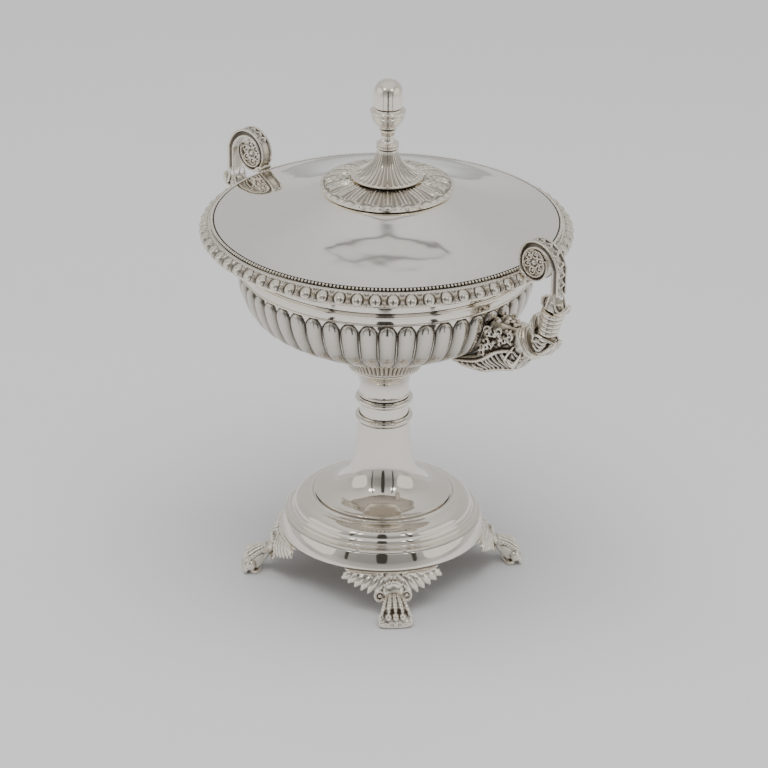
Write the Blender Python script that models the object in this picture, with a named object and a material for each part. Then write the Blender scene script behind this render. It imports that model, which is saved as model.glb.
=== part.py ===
"""A covered silver sugar bowl on a pedestal, with two scroll handles and four paw feet.

Metres, +Z up.  The origin is on the floor under the middle of the bowl.  The handles lie
along X, and the lid lifts off along +Z.
"""
import math

import bmesh
import bpy
from mathutils import Vector

MM = 0.001
GAP = 0.3 * MM                   # clearance between neighbouring pieces
MERGE = 0.001 * MM               # points closer than this are one point
LARGE_SIDES = 40                 # facets round the bowl, the lid and the foot
SMALL_SIDES = 20                 # facets round the stem and the finial

# ---- Pedestal: heights are stacked from the floor upwards ----
SKIRT_BOTTOM_Z = 18.8 * MM       # underside of the foot, held up by the paws
SKIRT_HEIGHT = 7.4 * MM
SKIRT_RADIUS = 43.9 * MM         # at its bottom edge
SKIRT_TAPER = 1.4 * MM           # how much narrower the skirt is at its top
SHEET = 1.0 * MM                 # thickness of the raised sheet silver
MOULDING_HEIGHT = 9.7 * MM
MOULDING_TOP_RADIUS = 29.9 * MM
TRUMPET_HEIGHT = 33.5 * MM
STEM_RADIUS = 10.5 * MM          # the plain tube between the two knop rings
TRUMPET_TOP_RADIUS = STEM_RADIUS + 0.7 * MM
STEM_HEIGHT = 11.6 * MM
KNOP_RADIUS = STEM_RADIUS + 2.0 * MM
KNOP_HEIGHT = 3.1 * MM
SPOOL_HEIGHT = 13.0 * MM
SPOOL_WAIST_RADIUS = STEM_RADIUS + 0.2 * MM
SPOOL_TOP_RADIUS = 15.0 * MM
MILLED_HEIGHT = 7.7 * MM
MILLED_BOTTOM_RADIUS = 15.5 * MM
MILLED_TOP_RADIUS = 19.7 * MM
STEM_BORE_RADIUS = STEM_RADIUS - 1.5 * MM

# ---- Bowl ----
BOWL_RADIUS = 62.2 * MM          # at the top of the gadrooned body
BODY_HEIGHT = 37.3 * MM          # gadrooned body, from its base to its shoulder
SHOULDER_HEIGHT = 7.4 * MM       # plain band and neck above the body
COVE_HEIGHT = 7.4 * MM           # hollow moulding below the rim
COVE_FLARE = 11.8 * MM           # how far the cove carries the lip outwards
LIP_HEIGHT = 5.9 * MM
MOUTH_WALL = 2.6 * MM            # width of the ledge that the lid sits on
BORDER_WIDTH = 4.6 * MM          # egg and dart border, outside the lip
SHOULDER_WIRE_RADIUS = 0.9 * MM

# ---- Lid and finial ----
LID_RISE = 17.1 * MM             # from the rim of the lid to its crown
LID_SHEET = 0.9 * MM
BEAD_RADIUS = 0.7 * MM
BEZEL_DEPTH = 4.2 * MM
BEZEL_PLAY = 0.7 * MM            # between the bezel and the bowl's mouth
CALYX_RADIUS = 28.3 * MM
CALYX_SHEET = 0.8 * MM
CALYX_RISE = 3.8 * MM
FLUTE_RADIUS = 15.2 * MM
FLUTE_HEIGHT = 12.4 * MM
COLLAR_RADIUS = 4.8 * MM
NECK_HEIGHT = 8.6 * MM
CUP_RADIUS = 7.55 * MM
CUP_HEIGHT = 9.2 * MM
ACORN_RADIUS = 6.1 * MM
ACORN_HEIGHT = 12.2 * MM
STUD_RADIUS = 1.3 * MM
STUD_HOLE_RADIUS = STUD_RADIUS + 0.35 * MM
WASHER_RADIUS = 5.0 * MM
WASHER_THICKNESS = 0.8 * MM
NUT_RADIUS = 3.5 * MM
NUT_HEIGHT = 2.5 * MM

# ---- Handles ----
SCROLL_RADIUS = 7.7 * MM         # the round end of the scroll
SCROLL_OPEN_RADIUS = SCROLL_RADIUS + 6.3 * MM   # where the scroll leaves its arm
SCROLL_OUTSET = SCROLL_RADIUS - 4.1 * MM        # middle of the scroll, outside the border
SCROLL_LIFT = SCROLL_RADIUS - 1.1 * MM          # middle of the scroll, above the lip
ARM_THICKNESS = 3.2 * MM
HANDLE_WIDTH = 5.6 * MM          # across the handle
HANDLE_SET_BACK = 3.0 * MM       # both handles sit this far towards +Y of the bowl's middle
ROSETTE_RADIUS = SCROLL_RADIUS - 1.8 * MM
ROSETTE_THICKNESS = 0.9 * MM
ROSETTE_POCKET = ROSETTE_THICKNESS + 0.8 * MM   # depth of the round recess that holds each rosette
RIM_LEAF_WIDTH = 8.0 * MM
RING_COUNT = 5
RING_STACK_RADIUS = 4.6 * MM
RING_STACK_FLARE = 0.8 * MM

# ---- Feet ----
FOOT_ANGLES = (-40, 50, 140, 230)   # degrees from +X
WING_ANGLE = math.radians(29)       # half the spread of a foot's leaf bracket
WING_DROP = 9.5 * MM
WING_THICKNESS = 1.8 * MM
PAW_WIDTH = 15.0 * MM
PAW_REACH = 17.2 * MM               # toes, outside the skirt's bottom edge

# ---- Heights that follow ----
SKIRT_TOP_Z = SKIRT_BOTTOM_Z + SKIRT_HEIGHT
MOULDING_TOP_Z = SKIRT_TOP_Z + GAP + MOULDING_HEIGHT
TRUMPET_TOP_Z = MOULDING_TOP_Z + GAP + TRUMPET_HEIGHT
STEM_TOP_Z = TRUMPET_TOP_Z + GAP + STEM_HEIGHT
SPOOL_TOP_Z = STEM_TOP_Z + GAP + SPOOL_HEIGHT
MILLED_TOP_Z = SPOOL_TOP_Z + GAP + MILLED_HEIGHT
BOWL_BOTTOM_Z = MILLED_TOP_Z + GAP
SHOULDER_Z = BOWL_BOTTOM_Z + BODY_HEIGHT
COVE_Z = SHOULDER_Z + SHOULDER_HEIGHT
LIP_Z = COVE_Z + COVE_HEIGHT
RIM_Z = LIP_Z + LIP_HEIGHT
LIP_RADIUS = BOWL_RADIUS + COVE_FLARE
MOUTH_RADIUS = LIP_RADIUS - MOUTH_WALL
BORDER_RADIUS = LIP_RADIUS + GAP + BORDER_WIDTH
LID_Z = RIM_Z + GAP                      # lowest point of the beaded edge
LID_RADIUS = LIP_RADIUS - 2 * BEAD_RADIUS - GAP
CROWN_Z = LID_Z + LID_RISE + 2 * BEAD_RADIUS


# ------------------------------------------------------------------ shapes

def silver(name, colour, roughness):
    """A silver finish of its own for one piece."""
    material = bpy.data.materials.new(name)
    material.use_nodes = True
    shader = material.node_tree.nodes["Principled BSDF"]
    shader.inputs["Base Color"].default_value = (*colour, 1.0)
    shader.inputs["Metallic"].default_value = 1.0
    shader.inputs["Roughness"].default_value = roughness
    return material


POLISHED = ((0.83, 0.81, 0.78), 0.08)
CAST = ((0.74, 0.71, 0.66), 0.24)
WORN = ((0.62, 0.58, 0.52), 0.35)


def add_piece(name, shape, finish):
    """Turn a bmesh into one named object with its own material."""
    bmesh.ops.remove_doubles(shape, verts=shape.verts, dist=MERGE)
    bmesh.ops.recalc_face_normals(shape, faces=shape.faces)
    mesh = bpy.data.meshes.new(name)
    shape.to_mesh(mesh)
    shape.free()
    mesh.shade_smooth()
    mesh.set_sharp_from_angle(angle=math.radians(32))
    piece = bpy.data.objects.new(name, mesh)
    piece.data.materials.append(silver(name + "_finish", *finish))
    bpy.context.scene.collection.objects.link(piece)
    return piece


def smooth(points, steps=3):
    """A curve through the points, with the given number of steps between two of them."""
    ends = [points[0]] + list(points) + [points[-1]]
    curve = []
    for a, b, c, d in zip(ends, ends[1:], ends[2:], ends[3:]):
        for step in range(steps):
            t = step / steps
            curve.append(tuple(
                0.5 * (2 * q + (r - p) * t + (2 * p - 5 * q + 4 * r - s) * t * t
                       + (3 * q - p - 3 * r + s) * t ** 3)
                for p, q, r, s in zip(a, b, c, d)))
    return curve + [tuple(points[-1])]


def arc(centre, radii, start, end, steps):
    """Points on an ellipse's arc between two angles in degrees."""
    angles = [math.radians(start + (end - start) * i / steps) for i in range(steps + 1)]
    return [(centre[0] + radii[0] * math.cos(a), centre[1] + radii[1] * math.sin(a)) for a in angles]


def turned(name, outline, sides, finish, base=Vector((0, 0, 0)), tilt=0.0):
    """A piece turned about Z: (radius, height) points, closed unless it ends on the axis."""
    shape = bmesh.new()
    points = [shape.verts.new((radius, 0, height)) for radius, height in outline]
    pairs = list(zip(points, points[1:]))
    if outline[0][0] > 0 or outline[-1][0] > 0:
        pairs.append((points[-1], points[0]))
    edges = [shape.edges.new(pair) for pair in pairs]
    bmesh.ops.spin(shape, geom=points + edges, cent=(0, 0, 0), axis=(0, 0, 1),
                   angle=2 * math.pi, steps=sides, use_merge=True)
    for vert in shape.verts:
        x, y, z = vert.co
        vert.co = base + Vector((x * math.cos(tilt) + z * math.sin(tilt), y,
                                 z * math.cos(tilt) - x * math.sin(tilt)))
    return add_piece(name, shape, finish)


def placed(point, side):
    """A point of the handle at +X, or the same point of the handle at -X."""
    x, y, z = point
    return (side * x, side * y + HANDLE_SET_BACK, z)


def plate(name, outline, half_width, finish, side=1):
    """An outline in the handle's plane, made solid across it."""
    shape = bmesh.new()
    rows = [[shape.verts.new(placed((r, sign * half_width, z), side)) for r, z in outline]
            for sign in (-1, 1)]
    join_rows(shape, rows)
    return add_piece(name, shape, finish)


def join_rows(shape, rows):
    """Bridge equal rings of points into a closed skin with a cap at each end."""
    for near, far in zip(rows, rows[1:]):
        for i in range(len(near)):
            j = (i + 1) % len(near)
            shape.faces.new((near[i], near[j], far[j], far[i]))
    caps = [shape.faces.new(rows[0][::-1]), shape.faces.new(rows[-1])]
    bmesh.ops.triangulate(shape, faces=caps)


def between(value, table):
    """Straight-line reading of a table of (value, result) pairs in rising order."""
    if value <= table[0][0]:
        return table[0][1]
    for (a, low), (b, high) in zip(table, table[1:]):
        if value <= b:
            return low + (high - low) * (value - a) / (b - a)
    return table[-1][1]


# ------------------------------------------------------------------ pedestal

def make_foot_skirt():
    """The plain upright band round the bottom of the foot."""
    top = SKIRT_RADIUS - SKIRT_TAPER
    turned("foot_skirt", [
        (top, SKIRT_TOP_Z), (SKIRT_RADIUS, SKIRT_BOTTOM_Z),
        (SKIRT_RADIUS - SHEET, SKIRT_BOTTOM_Z), (top - SHEET, SKIRT_TOP_Z),
    ], LARGE_SIDES, POLISHED)


def make_foot_moulding():
    """The stepped, swelling moulding between the skirt and the trumpet."""
    low = SKIRT_TOP_Z + GAP
    top = MOULDING_TOP_Z
    inner = MOULDING_TOP_RADIUS + 0.6 * MM
    outer = SKIRT_RADIUS - SKIRT_TAPER - 3.4 * MM
    swell = arc((inner, low + 4.3 * MM), (outer - inner, MOULDING_HEIGHT - 5.6 * MM), 90, 0, 5)
    steps = [(outer + 0.7 * MM, low + 3.0 * MM), (outer + 1.4 * MM, low + 2.6 * MM),
             (outer + 1.4 * MM, low + 1.3 * MM), (outer + 3.2 * MM, low + 1.0 * MM),
             (outer + 3.3 * MM, low)]
    hollow = [(outer, low), (outer - 1.5 * MM, low + 3.4 * MM),
              (outer - 4.5 * MM, top - 4.2 * MM), (inner - 1.8 * MM, top - 2.2 * MM),
              (inner - 1.8 * MM, top)]
    turned("foot_moulding", [(MOULDING_TOP_RADIUS, top)] + swell + steps + hollow,
           LARGE_SIDES, POLISHED)


def make_foot_trumpet():
    """The raised foot: a slender trumpet that flares out over the moulding."""
    low = MOULDING_TOP_Z + GAP
    flare = MOULDING_TOP_RADIUS - 0.4 * MM
    rise = TRUMPET_TOP_Z - low
    outer = smooth([(TRUMPET_TOP_RADIUS, TRUMPET_TOP_Z),
                    (TRUMPET_TOP_RADIUS + 0.4 * MM, low + 0.70 * rise),
                    (TRUMPET_TOP_RADIUS + 2.3 * MM, low + 0.37 * rise),
                    (TRUMPET_TOP_RADIUS + 4.7 * MM, low + 0.21 * rise),
                    (TRUMPET_TOP_RADIUS + 9.3 * MM, low + 0.07 * rise),
                    (flare, low)], 2)
    inner = [(flare - 5.0 * SHEET, low), (TRUMPET_TOP_RADIUS + 3.0 * MM, low + 0.20 * rise),
             (STEM_BORE_RADIUS + 1.2 * MM, low + 0.44 * rise), (STEM_BORE_RADIUS, TRUMPET_TOP_Z)]
    turned("foot_trumpet", outer + inner, 24, POLISHED)


def make_knop_ring(name, low):
    """A rounded ring slipped over the stem tube."""
    bore = STEM_RADIUS + GAP
    bulge = arc((bore, low + KNOP_HEIGHT / 2), (KNOP_RADIUS - bore, KNOP_HEIGHT / 2), 90, -90, 6)
    turned(name, bulge, SMALL_SIDES, POLISHED)


def make_stem():
    """Stem tube with its two knop rings, the spool above it and the milled ring on top."""
    low = TRUMPET_TOP_Z + GAP
    turned("stem_tube", [
        (STEM_RADIUS, STEM_TOP_Z), (STEM_RADIUS, low),
        (STEM_BORE_RADIUS, low), (STEM_BORE_RADIUS, STEM_TOP_Z),
    ], SMALL_SIDES, POLISHED)
    make_knop_ring("knop_ring_lower", low)
    make_knop_ring("knop_ring_upper", STEM_TOP_Z - KNOP_HEIGHT)
    low = STEM_TOP_Z + GAP
    side = smooth([(SPOOL_TOP_RADIUS, SPOOL_TOP_Z),
                   (SPOOL_TOP_RADIUS - 2.6 * MM, low + 0.81 * SPOOL_HEIGHT),
                   (SPOOL_WAIST_RADIUS, low + 0.36 * SPOOL_HEIGHT),
                   (SPOOL_WAIST_RADIUS + 0.3 * MM, low)], 3)
    turned("stem_spool", side + [(STEM_BORE_RADIUS, low), (STEM_BORE_RADIUS, SPOOL_TOP_Z)],
           SMALL_SIDES, POLISHED)
    low = SPOOL_TOP_Z + GAP
    lip = 0.9 * MM
    turned("milled_ring", [
        (MILLED_TOP_RADIUS, MILLED_TOP_Z), (MILLED_TOP_RADIUS, MILLED_TOP_Z - lip),
        (MILLED_BOTTOM_RADIUS + 0.4 * MM, low + lip), (MILLED_BOTTOM_RADIUS, low),
        (STEM_BORE_RADIUS, low), (STEM_BORE_RADIUS, MILLED_TOP_Z),
    ], LARGE_SIDES, CAST)


# ------------------------------------------------------------------ feet

def make_foot(name, angle):
    """A cast paw with the leaf bracket that carries the skirt, as one piece."""
    top = SKIRT_BOTTOM_Z - GAP
    heel = SKIRT_RADIUS - SHEET
    reach = SKIRT_RADIUS + PAW_REACH - heel
    stations = [  # share of the reach, underside, upper side, half of the width
        (0.00, 0.42 * top, top, 0.40 * PAW_WIDTH), (0.24, 0.38 * top, 0.90 * top, 0.36 * PAW_WIDTH),
        (0.43, 0.27 * top, 0.60 * top, 0.29 * PAW_WIDTH), (0.55, 0.12 * top, 0.58 * top, 0.34 * PAW_WIDTH),
        (0.66, 0.0, 0.62 * top, 0.42 * PAW_WIDTH), (0.82, 0.0, 0.60 * top, 0.50 * PAW_WIDTH),
        (0.93, 0.0, 0.46 * top, 0.49 * PAW_WIDTH), (1.00, 0.07 * top, 0.30 * top, 0.42 * PAW_WIDTH)]
    leg = bmesh.new()
    rows = []
    for share, low, high, half in stations:
        r = heel + share * reach
        middle = (low + high) / 2
        rows.append([leg.verts.new((r, y * half, z)) for y, z in (
            (-0.75, low), (0.75, low), (1.0, 0.65 * low + 0.35 * high), (0.9, 0.6 * high + 0.4 * middle),
            (0.5, high), (-0.5, high), (-0.9, 0.6 * high + 0.4 * middle), (-1.0, 0.65 * low + 0.35 * high))])
    join_rows(leg, rows)
    foot = add_piece(name, leg, CAST)

    wing = bmesh.new()
    rows = []
    lobes = 12
    for i in range(lobes + 1):
        a = WING_ANGLE * (2 * i / lobes - 1)
        drop = 2.6 * MM + WING_DROP * (1 - abs(a) / WING_ANGLE) ** 0.85
        lean = 0.28 * drop
        row = [(SKIRT_RADIUS - WING_THICKNESS, top), (SKIRT_RADIUS + GAP, top),
               (SKIRT_RADIUS + GAP + lean, top - drop), (SKIRT_RADIUS - WING_THICKNESS + lean, top - drop)]
        rows.append([wing.verts.new((r * math.cos(a), r * math.sin(a), z)) for r, z in row])
    join_rows(wing, rows)
    bracket = add_piece(name + "_bracket", wing, CAST)
    bracket.display_type = "WIRE"
    bracket.hide_render = True

    join = foot.modifiers.new("bracket", "BOOLEAN")
    join.operation = "UNION"
    join.solver = "EXACT"
    join.object = bracket
    for piece in (foot, bracket):
        piece.rotation_euler.z = math.radians(angle)


# ------------------------------------------------------------------ bowl

def body_outline():
    """Outer side of the gadrooned body, from its shoulder down to its base."""
    shares = [(1.000, 1.00), (1.000, 0.84), (0.949, 0.65), (0.892, 0.46),
              (0.714, 0.30), (0.556, 0.165), (0.428, 0.072), (0.322, 0.0)]
    return [(r * BOWL_RADIUS, BOWL_BOTTOM_Z + h * BODY_HEIGHT) for r, h in shares]


def make_bowl():
    """The raised bowl: gadrooned body, plain shoulder, hollow cove and upright lip."""
    cove = arc((LIP_RADIUS, COVE_Z + 0.2 * MM), (COVE_FLARE, COVE_HEIGHT - 0.2 * MM), 180, 90, 5)
    outer = [(LIP_RADIUS, RIM_Z)] + cove[::-1] + [(BOWL_RADIUS - 0.2 * MM, SHOULDER_Z + 1.2 * MM)]
    outer += body_outline() + [(0, BOWL_BOTTOM_Z)]
    inner_radius = BOWL_RADIUS - 1.4 * SHEET
    inner_cove = arc((MOUTH_RADIUS, COVE_Z), (MOUTH_RADIUS - inner_radius, COVE_HEIGHT + SHEET), 180, 90, 4)
    inner = [(0, BOWL_BOTTOM_Z + 1.2 * SHEET)]
    for radius, height in body_outline()[::-1]:
        slope = 1.45 if radius < 0.8 * BOWL_RADIUS else 0.5
        inner.append((radius * inner_radius / BOWL_RADIUS, height + slope * SHEET))
    inner[-1] = (inner_radius, SHOULDER_Z)
    inner += inner_cove + [(MOUTH_RADIUS, RIM_Z)]
    turned("bowl_shell", inner + outer[:-1] + [(0, BOWL_BOTTOM_Z)], LARGE_SIDES, POLISHED)


def make_rim_border():
    """The applied border outside the lip, with an ovolo face."""
    inner = LIP_RADIUS + GAP
    low = LIP_Z + 0.2 * MM
    face = arc((inner + 0.4 * MM, low + 2.0 * MM), (BORDER_WIDTH - 0.4 * MM, RIM_Z - low - 2.0 * MM),
               90, 0, 4)
    turned("rim_border", [(inner, RIM_Z)] + face + [
        (BORDER_RADIUS - 0.4 * MM, low + 0.9 * MM), (BORDER_RADIUS - 2.4 * MM, low), (inner, low),
    ], LARGE_SIDES, CAST)


def make_shoulder_wire():
    """The half-round wire between the body's plain band and the neck."""
    bore = BOWL_RADIUS + GAP
    middle = SHOULDER_Z + 0.62 * SHOULDER_HEIGHT
    outline = arc((bore, middle), (SHOULDER_WIRE_RADIUS, SHOULDER_WIRE_RADIUS), 90, -90, 4)
    turned("shoulder_wire", outline, LARGE_SIDES, POLISHED)


# ------------------------------------------------------------------ lid

def lid_outline():
    """Upper side of the lid from its centre hole to its edge, as radius and height."""
    edge_z = LID_Z + BEAD_RADIUS + 0.4 * MM
    rise = CROWN_Z - edge_z
    shares = [(0.205, 0.985), (0.277, 0.915), (0.388, 0.775), (0.471, 0.665), (0.582, 0.490),
              (0.693, 0.340), (0.804, 0.205), (0.914, 0.080), (1.0, 0.0)]
    crown = [(STUD_HOLE_RADIUS, CROWN_Z)]
    return crown + [(r * LID_RADIUS, edge_z + h * rise) for r, h in shares]


def make_lid():
    """The spun lid, its beaded edge and the bezel that locates it in the bowl's mouth."""
    top = lid_outline()
    under = [(radius, height - LID_SHEET) for radius, height in top]
    turned("lid_plate", top + under[::-1], LARGE_SIDES, POLISHED)
    middle = (LIP_RADIUS - BEAD_RADIUS, LID_Z + BEAD_RADIUS)
    turned("lid_bead_edge", arc(middle, (BEAD_RADIUS, BEAD_RADIUS), 360, 60, 5), LARGE_SIDES, CAST)
    outer = MOUTH_RADIUS - BEZEL_PLAY
    top_z = between(outer, lid_outline()) - LID_SHEET - GAP
    turned("lid_bezel", [
        (outer, top_z), (outer, RIM_Z - BEZEL_DEPTH),
        (outer - SHEET, RIM_Z - BEZEL_DEPTH), (outer - SHEET, top_z),
    ], LARGE_SIDES, POLISHED)


def make_finial():
    """Leaf calyx, fluted trumpet, neck and acorn, held by a stud, a washer and a nut."""
    seat = CROWN_Z + 2 * GAP
    edge = seat + CALYX_SHEET - CALYX_RISE + 0.3 * MM
    calyx_top = seat + CALYX_SHEET
    turned("finial_calyx", [
        (STUD_HOLE_RADIUS, calyx_top), (FLUTE_RADIUS, calyx_top), (CALYX_RADIUS, edge),
        (CALYX_RADIUS, edge - 0.7 * CALYX_SHEET), (FLUTE_RADIUS, seat), (STUD_HOLE_RADIUS, seat),
    ], LARGE_SIDES, CAST)

    low = calyx_top + GAP
    top = low + FLUTE_HEIGHT
    outer = smooth([(COLLAR_RADIUS - 0.8 * MM, top), (COLLAR_RADIUS + 0.6 * MM, low + 0.62 * FLUTE_HEIGHT),
                    (COLLAR_RADIUS + 3.4 * MM, low + 0.28 * FLUTE_HEIGHT), (FLUTE_RADIUS, low + 0.6 * MM)], 2)
    inner = [(max(2.0 * MM, radius - 1.0 * MM), height - 0.6 * MM) for radius, height in outer[1:-1]]
    turned("finial_trumpet", outer + [(FLUTE_RADIUS, low), (FLUTE_RADIUS - 1.4 * MM, low)]
           + inner[::-1] + [(2.0 * MM, top)], SMALL_SIDES, CAST)

    low = top + GAP
    neck_top = low + NECK_HEIGHT
    blind = low + 0.7 * NECK_HEIGHT
    turned("finial_neck", [
        (0, neck_top), (0.66 * COLLAR_RADIUS, neck_top), (0.57 * COLLAR_RADIUS, low + 0.64 * NECK_HEIGHT),
        (0.85 * COLLAR_RADIUS, low + 0.40 * NECK_HEIGHT), (COLLAR_RADIUS, low + 0.30 * NECK_HEIGHT),
        (0.86 * COLLAR_RADIUS, low + 0.18 * NECK_HEIGHT), (COLLAR_RADIUS, low + 0.08 * NECK_HEIGHT),
        (0.9 * COLLAR_RADIUS, low), (STUD_HOLE_RADIUS, low), (STUD_HOLE_RADIUS, blind), (0, blind),
    ], SMALL_SIDES, CAST)

    low = neck_top + GAP
    cup_top = low + CUP_HEIGHT
    turned("acorn_cup", [
        (0, cup_top), (0.93 * CUP_RADIUS, cup_top), (CUP_RADIUS, cup_top - 0.8 * MM),
        (0.99 * CUP_RADIUS, low + 0.66 * CUP_HEIGHT), (0.88 * CUP_RADIUS, low + 0.38 * CUP_HEIGHT),
        (0.62 * CUP_RADIUS, low + 0.12 * CUP_HEIGHT), (0.42 * CUP_RADIUS, low), (0, low),
    ], SMALL_SIDES, CAST)

    low = cup_top + GAP
    dome = arc((0, low + 0.5 * ACORN_HEIGHT), (ACORN_RADIUS, 0.42 * ACORN_HEIGHT), 0, 75, 4)
    turned("acorn_nut", [(0, low + ACORN_HEIGHT), (0.10 * ACORN_RADIUS, low + 0.965 * ACORN_HEIGHT)]
           + dome[::-1] + [(0.97 * ACORN_RADIUS, low), (0, low)], SMALL_SIDES, POLISHED)

    under = CROWN_Z - LID_SHEET - GAP
    turned("finial_washer", [
        (WASHER_RADIUS, under), (WASHER_RADIUS, under - WASHER_THICKNESS),
        (STUD_HOLE_RADIUS, under - WASHER_THICKNESS), (STUD_HOLE_RADIUS, under),
    ], SMALL_SIDES, WORN)
    nut_top = under - WASHER_THICKNESS - GAP
    turned("finial_nut", [
        (NUT_RADIUS, nut_top), (NUT_RADIUS, nut_top - NUT_HEIGHT),
        (STUD_HOLE_RADIUS, nut_top - NUT_HEIGHT), (STUD_HOLE_RADIUS, nut_top),
    ], 6, WORN)
    foot = nut_top - NUT_HEIGHT - 0.8 * MM
    turned("finial_stud", [(0, blind - GAP), (STUD_RADIUS, blind - GAP), (STUD_RADIUS, foot), (0, foot)],
           12, WORN)


# ------------------------------------------------------------------ handles

BRACKET_TOP = 0.585              # heights on the handle are shares of the bowl's height
SCROLL_X = BORDER_RADIUS + SCROLL_OUTSET
SCROLL_Z = RIM_Z + SCROLL_LIFT
HANDLE_X = SCROLL_X - 3.4 * MM   # distances on the handle are measured from here


def on_handle(outset, share):
    """A point in the handle's plane, in millimetres out from HANDLE_X and a share of the height."""
    return (HANDLE_X + outset * MM, BOWL_BOTTOM_Z + share * (RIM_Z - BOWL_BOTTOM_Z))


def make_handle_leaf(tag, side):
    """The large leaf that carries the handle, from under the bowl out to the tie.

    Each station has a point on the keel, one at the top, against the bowl or on the leaf's
    upper edge, and half of the leaf's width there.
    """
    bowl_side = body_outline()[::-1]
    clear = 0.75 * MM
    root_z = between(0.6 * BOWL_RADIUS, bowl_side)
    top_z = on_handle(0, BRACKET_TOP)[1]
    under_bowl = [(0.6, 0.4, -1.1, 2.2), (0.75, 0.6, -1.2, 5.0),
                  (0.885, 0.9, 0.0, 7.5), (0.985, 0.6, 1.8, 8.8)]
    stations = []
    for share, lean, keel, half in under_bowl:
        r = share * BOWL_RADIUS
        top = (r + lean * MM + clear, between(r, bowl_side))
        stations.append(((r, root_z + keel * MM), top, half * MM))
    stations += [
        ((BOWL_RADIUS + 3.0 * MM, root_z + 3.2 * MM), (BOWL_RADIUS + 1.0 * MM, top_z), 8.6 * MM),
        (on_handle(-8.5, 0.215), on_handle(-11.0, BRACKET_TOP), 7.2 * MM),
        (on_handle(-3.0, 0.240), on_handle(-7.4, BRACKET_TOP - 0.012), 6.0 * MM),
        (on_handle(-1.6, 0.295), on_handle(-5.2, BRACKET_TOP - 0.010), 5.4 * MM),
        (on_handle(3.0, 0.372), on_handle(-3.0, BRACKET_TOP - 0.004), 5.0 * MM)]
    section = ((0.30, 0.0), (0.80, 0.14), (1.0, 0.42), (0.92, 0.86), (0.55, 1.0))
    shape = bmesh.new()
    rows = []
    for keel, top, half in stations:
        row = []
        for sign, points in ((-1, section), (1, section[::-1])):
            for width, rise in points:
                x = keel[0] + rise * (top[0] - keel[0])
                z = keel[1] + rise * (top[1] - keel[1])
                row.append(shape.verts.new(placed((x, sign * width * half, z), side)))
        rows.append(row)
    join_rows(shape, rows)
    add_piece("handle_leaf_" + tag, shape, CAST)


def make_handle(tag, side):
    """One cast handle: leaf bracket, tie, calyx, ring stack, sheath, scroll and its trims."""
    make_handle_leaf(tag, side)

    # Tie: a flattened band wound round the handle.
    middle = Vector(on_handle(1.9, 0.488))
    along = Vector((0.887, 0.461))
    across = Vector((-0.461, 0.887))
    sides = 14
    shape = bmesh.new()
    rows = []
    for shift, scale in ((-1.5, 0.88), (-0.7, 1.0), (0.7, 1.0), (1.5, 0.88)):
        row = []
        for i in range(sides):
            a = 2 * math.pi * i / sides
            point = middle + along * shift * MM + across * 7.4 * MM * scale * math.cos(a)
            row.append(shape.verts.new(placed((point.x, 5.6 * MM * scale * math.sin(a), point.y), side)))
        rows.append(row)
    join_rows(shape, rows)
    add_piece("handle_tie_" + tag, shape, CAST)

    # Calyx above the tie, with a leaf tip on each side of the ring stack.
    plate("handle_calyx_" + tag, [
        on_handle(6.7, 0.407), on_handle(11.8, 0.460), on_handle(17.0, 0.545), on_handle(14.9, 0.578),
        on_handle(14.3, 0.574), on_handle(6.4, 0.610), on_handle(6.1, 0.668), on_handle(4.3, 0.742),
        on_handle(2.6, 0.690), on_handle(0.9, 0.606)], HANDLE_WIDTH * 0.75, CAST, side)

    # Ring stack: rings of growing size on one leaning axis.
    low = Vector(on_handle(10.5, 0.600))
    high = Vector(on_handle(13.2, 0.788))
    length = (high - low).length
    tilt = side * math.atan2(high.x - low.x, high.y - low.y)
    outline = [(0, length)]
    for i in reversed(range(RING_COUNT)):
        radius = RING_STACK_RADIUS + RING_STACK_FLARE * i / (RING_COUNT - 1)
        step = length / RING_COUNT
        outline += [(radius - 0.5 * MM, (i + 1) * step - 0.05 * MM), (radius, (i + 0.5) * step)]
    outline += [(RING_STACK_RADIUS - 0.5 * MM, 0), (0, 0)]
    turned("handle_rings_" + tag, outline, 12, CAST, Vector(placed((low.x, 0, low.y), side)), tilt)

    # Sheath: a cup of leaves whose two tips curl away from the arm.
    plate("handle_sheath_" + tag, [
        on_handle(18.0, 0.781), on_handle(22.0, 0.848), on_handle(21.6, 0.877), on_handle(19.4, 0.870),
        on_handle(18.3, 0.908), on_handle(14.6, 0.908), on_handle(12.0, 0.890), on_handle(8.3, 0.897),
        on_handle(7.4, 0.872), on_handle(8.6, 0.818)], HANDLE_WIDTH * 0.75, CAST, side)

    make_scroll(tag, side)


def round_block(name, side, start, end, radius, scallop, sides):
    """A round piece in the scroll's middle, from start to end across the handle."""
    petals = sides / 4
    shape = bmesh.new()
    rows = []
    for y in (start, end):
        row = []
        for i in range(sides):
            a = 2 * math.pi * i / sides
            reach = radius * (1 - scallop + scallop * math.cos(petals * a))
            row.append(shape.verts.new(placed((
                SCROLL_X + reach * math.cos(a), y, SCROLL_Z + reach * math.sin(a)), side)))
        rows.append(row)
    join_rows(shape, rows)
    return add_piece(name, shape, CAST)


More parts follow.
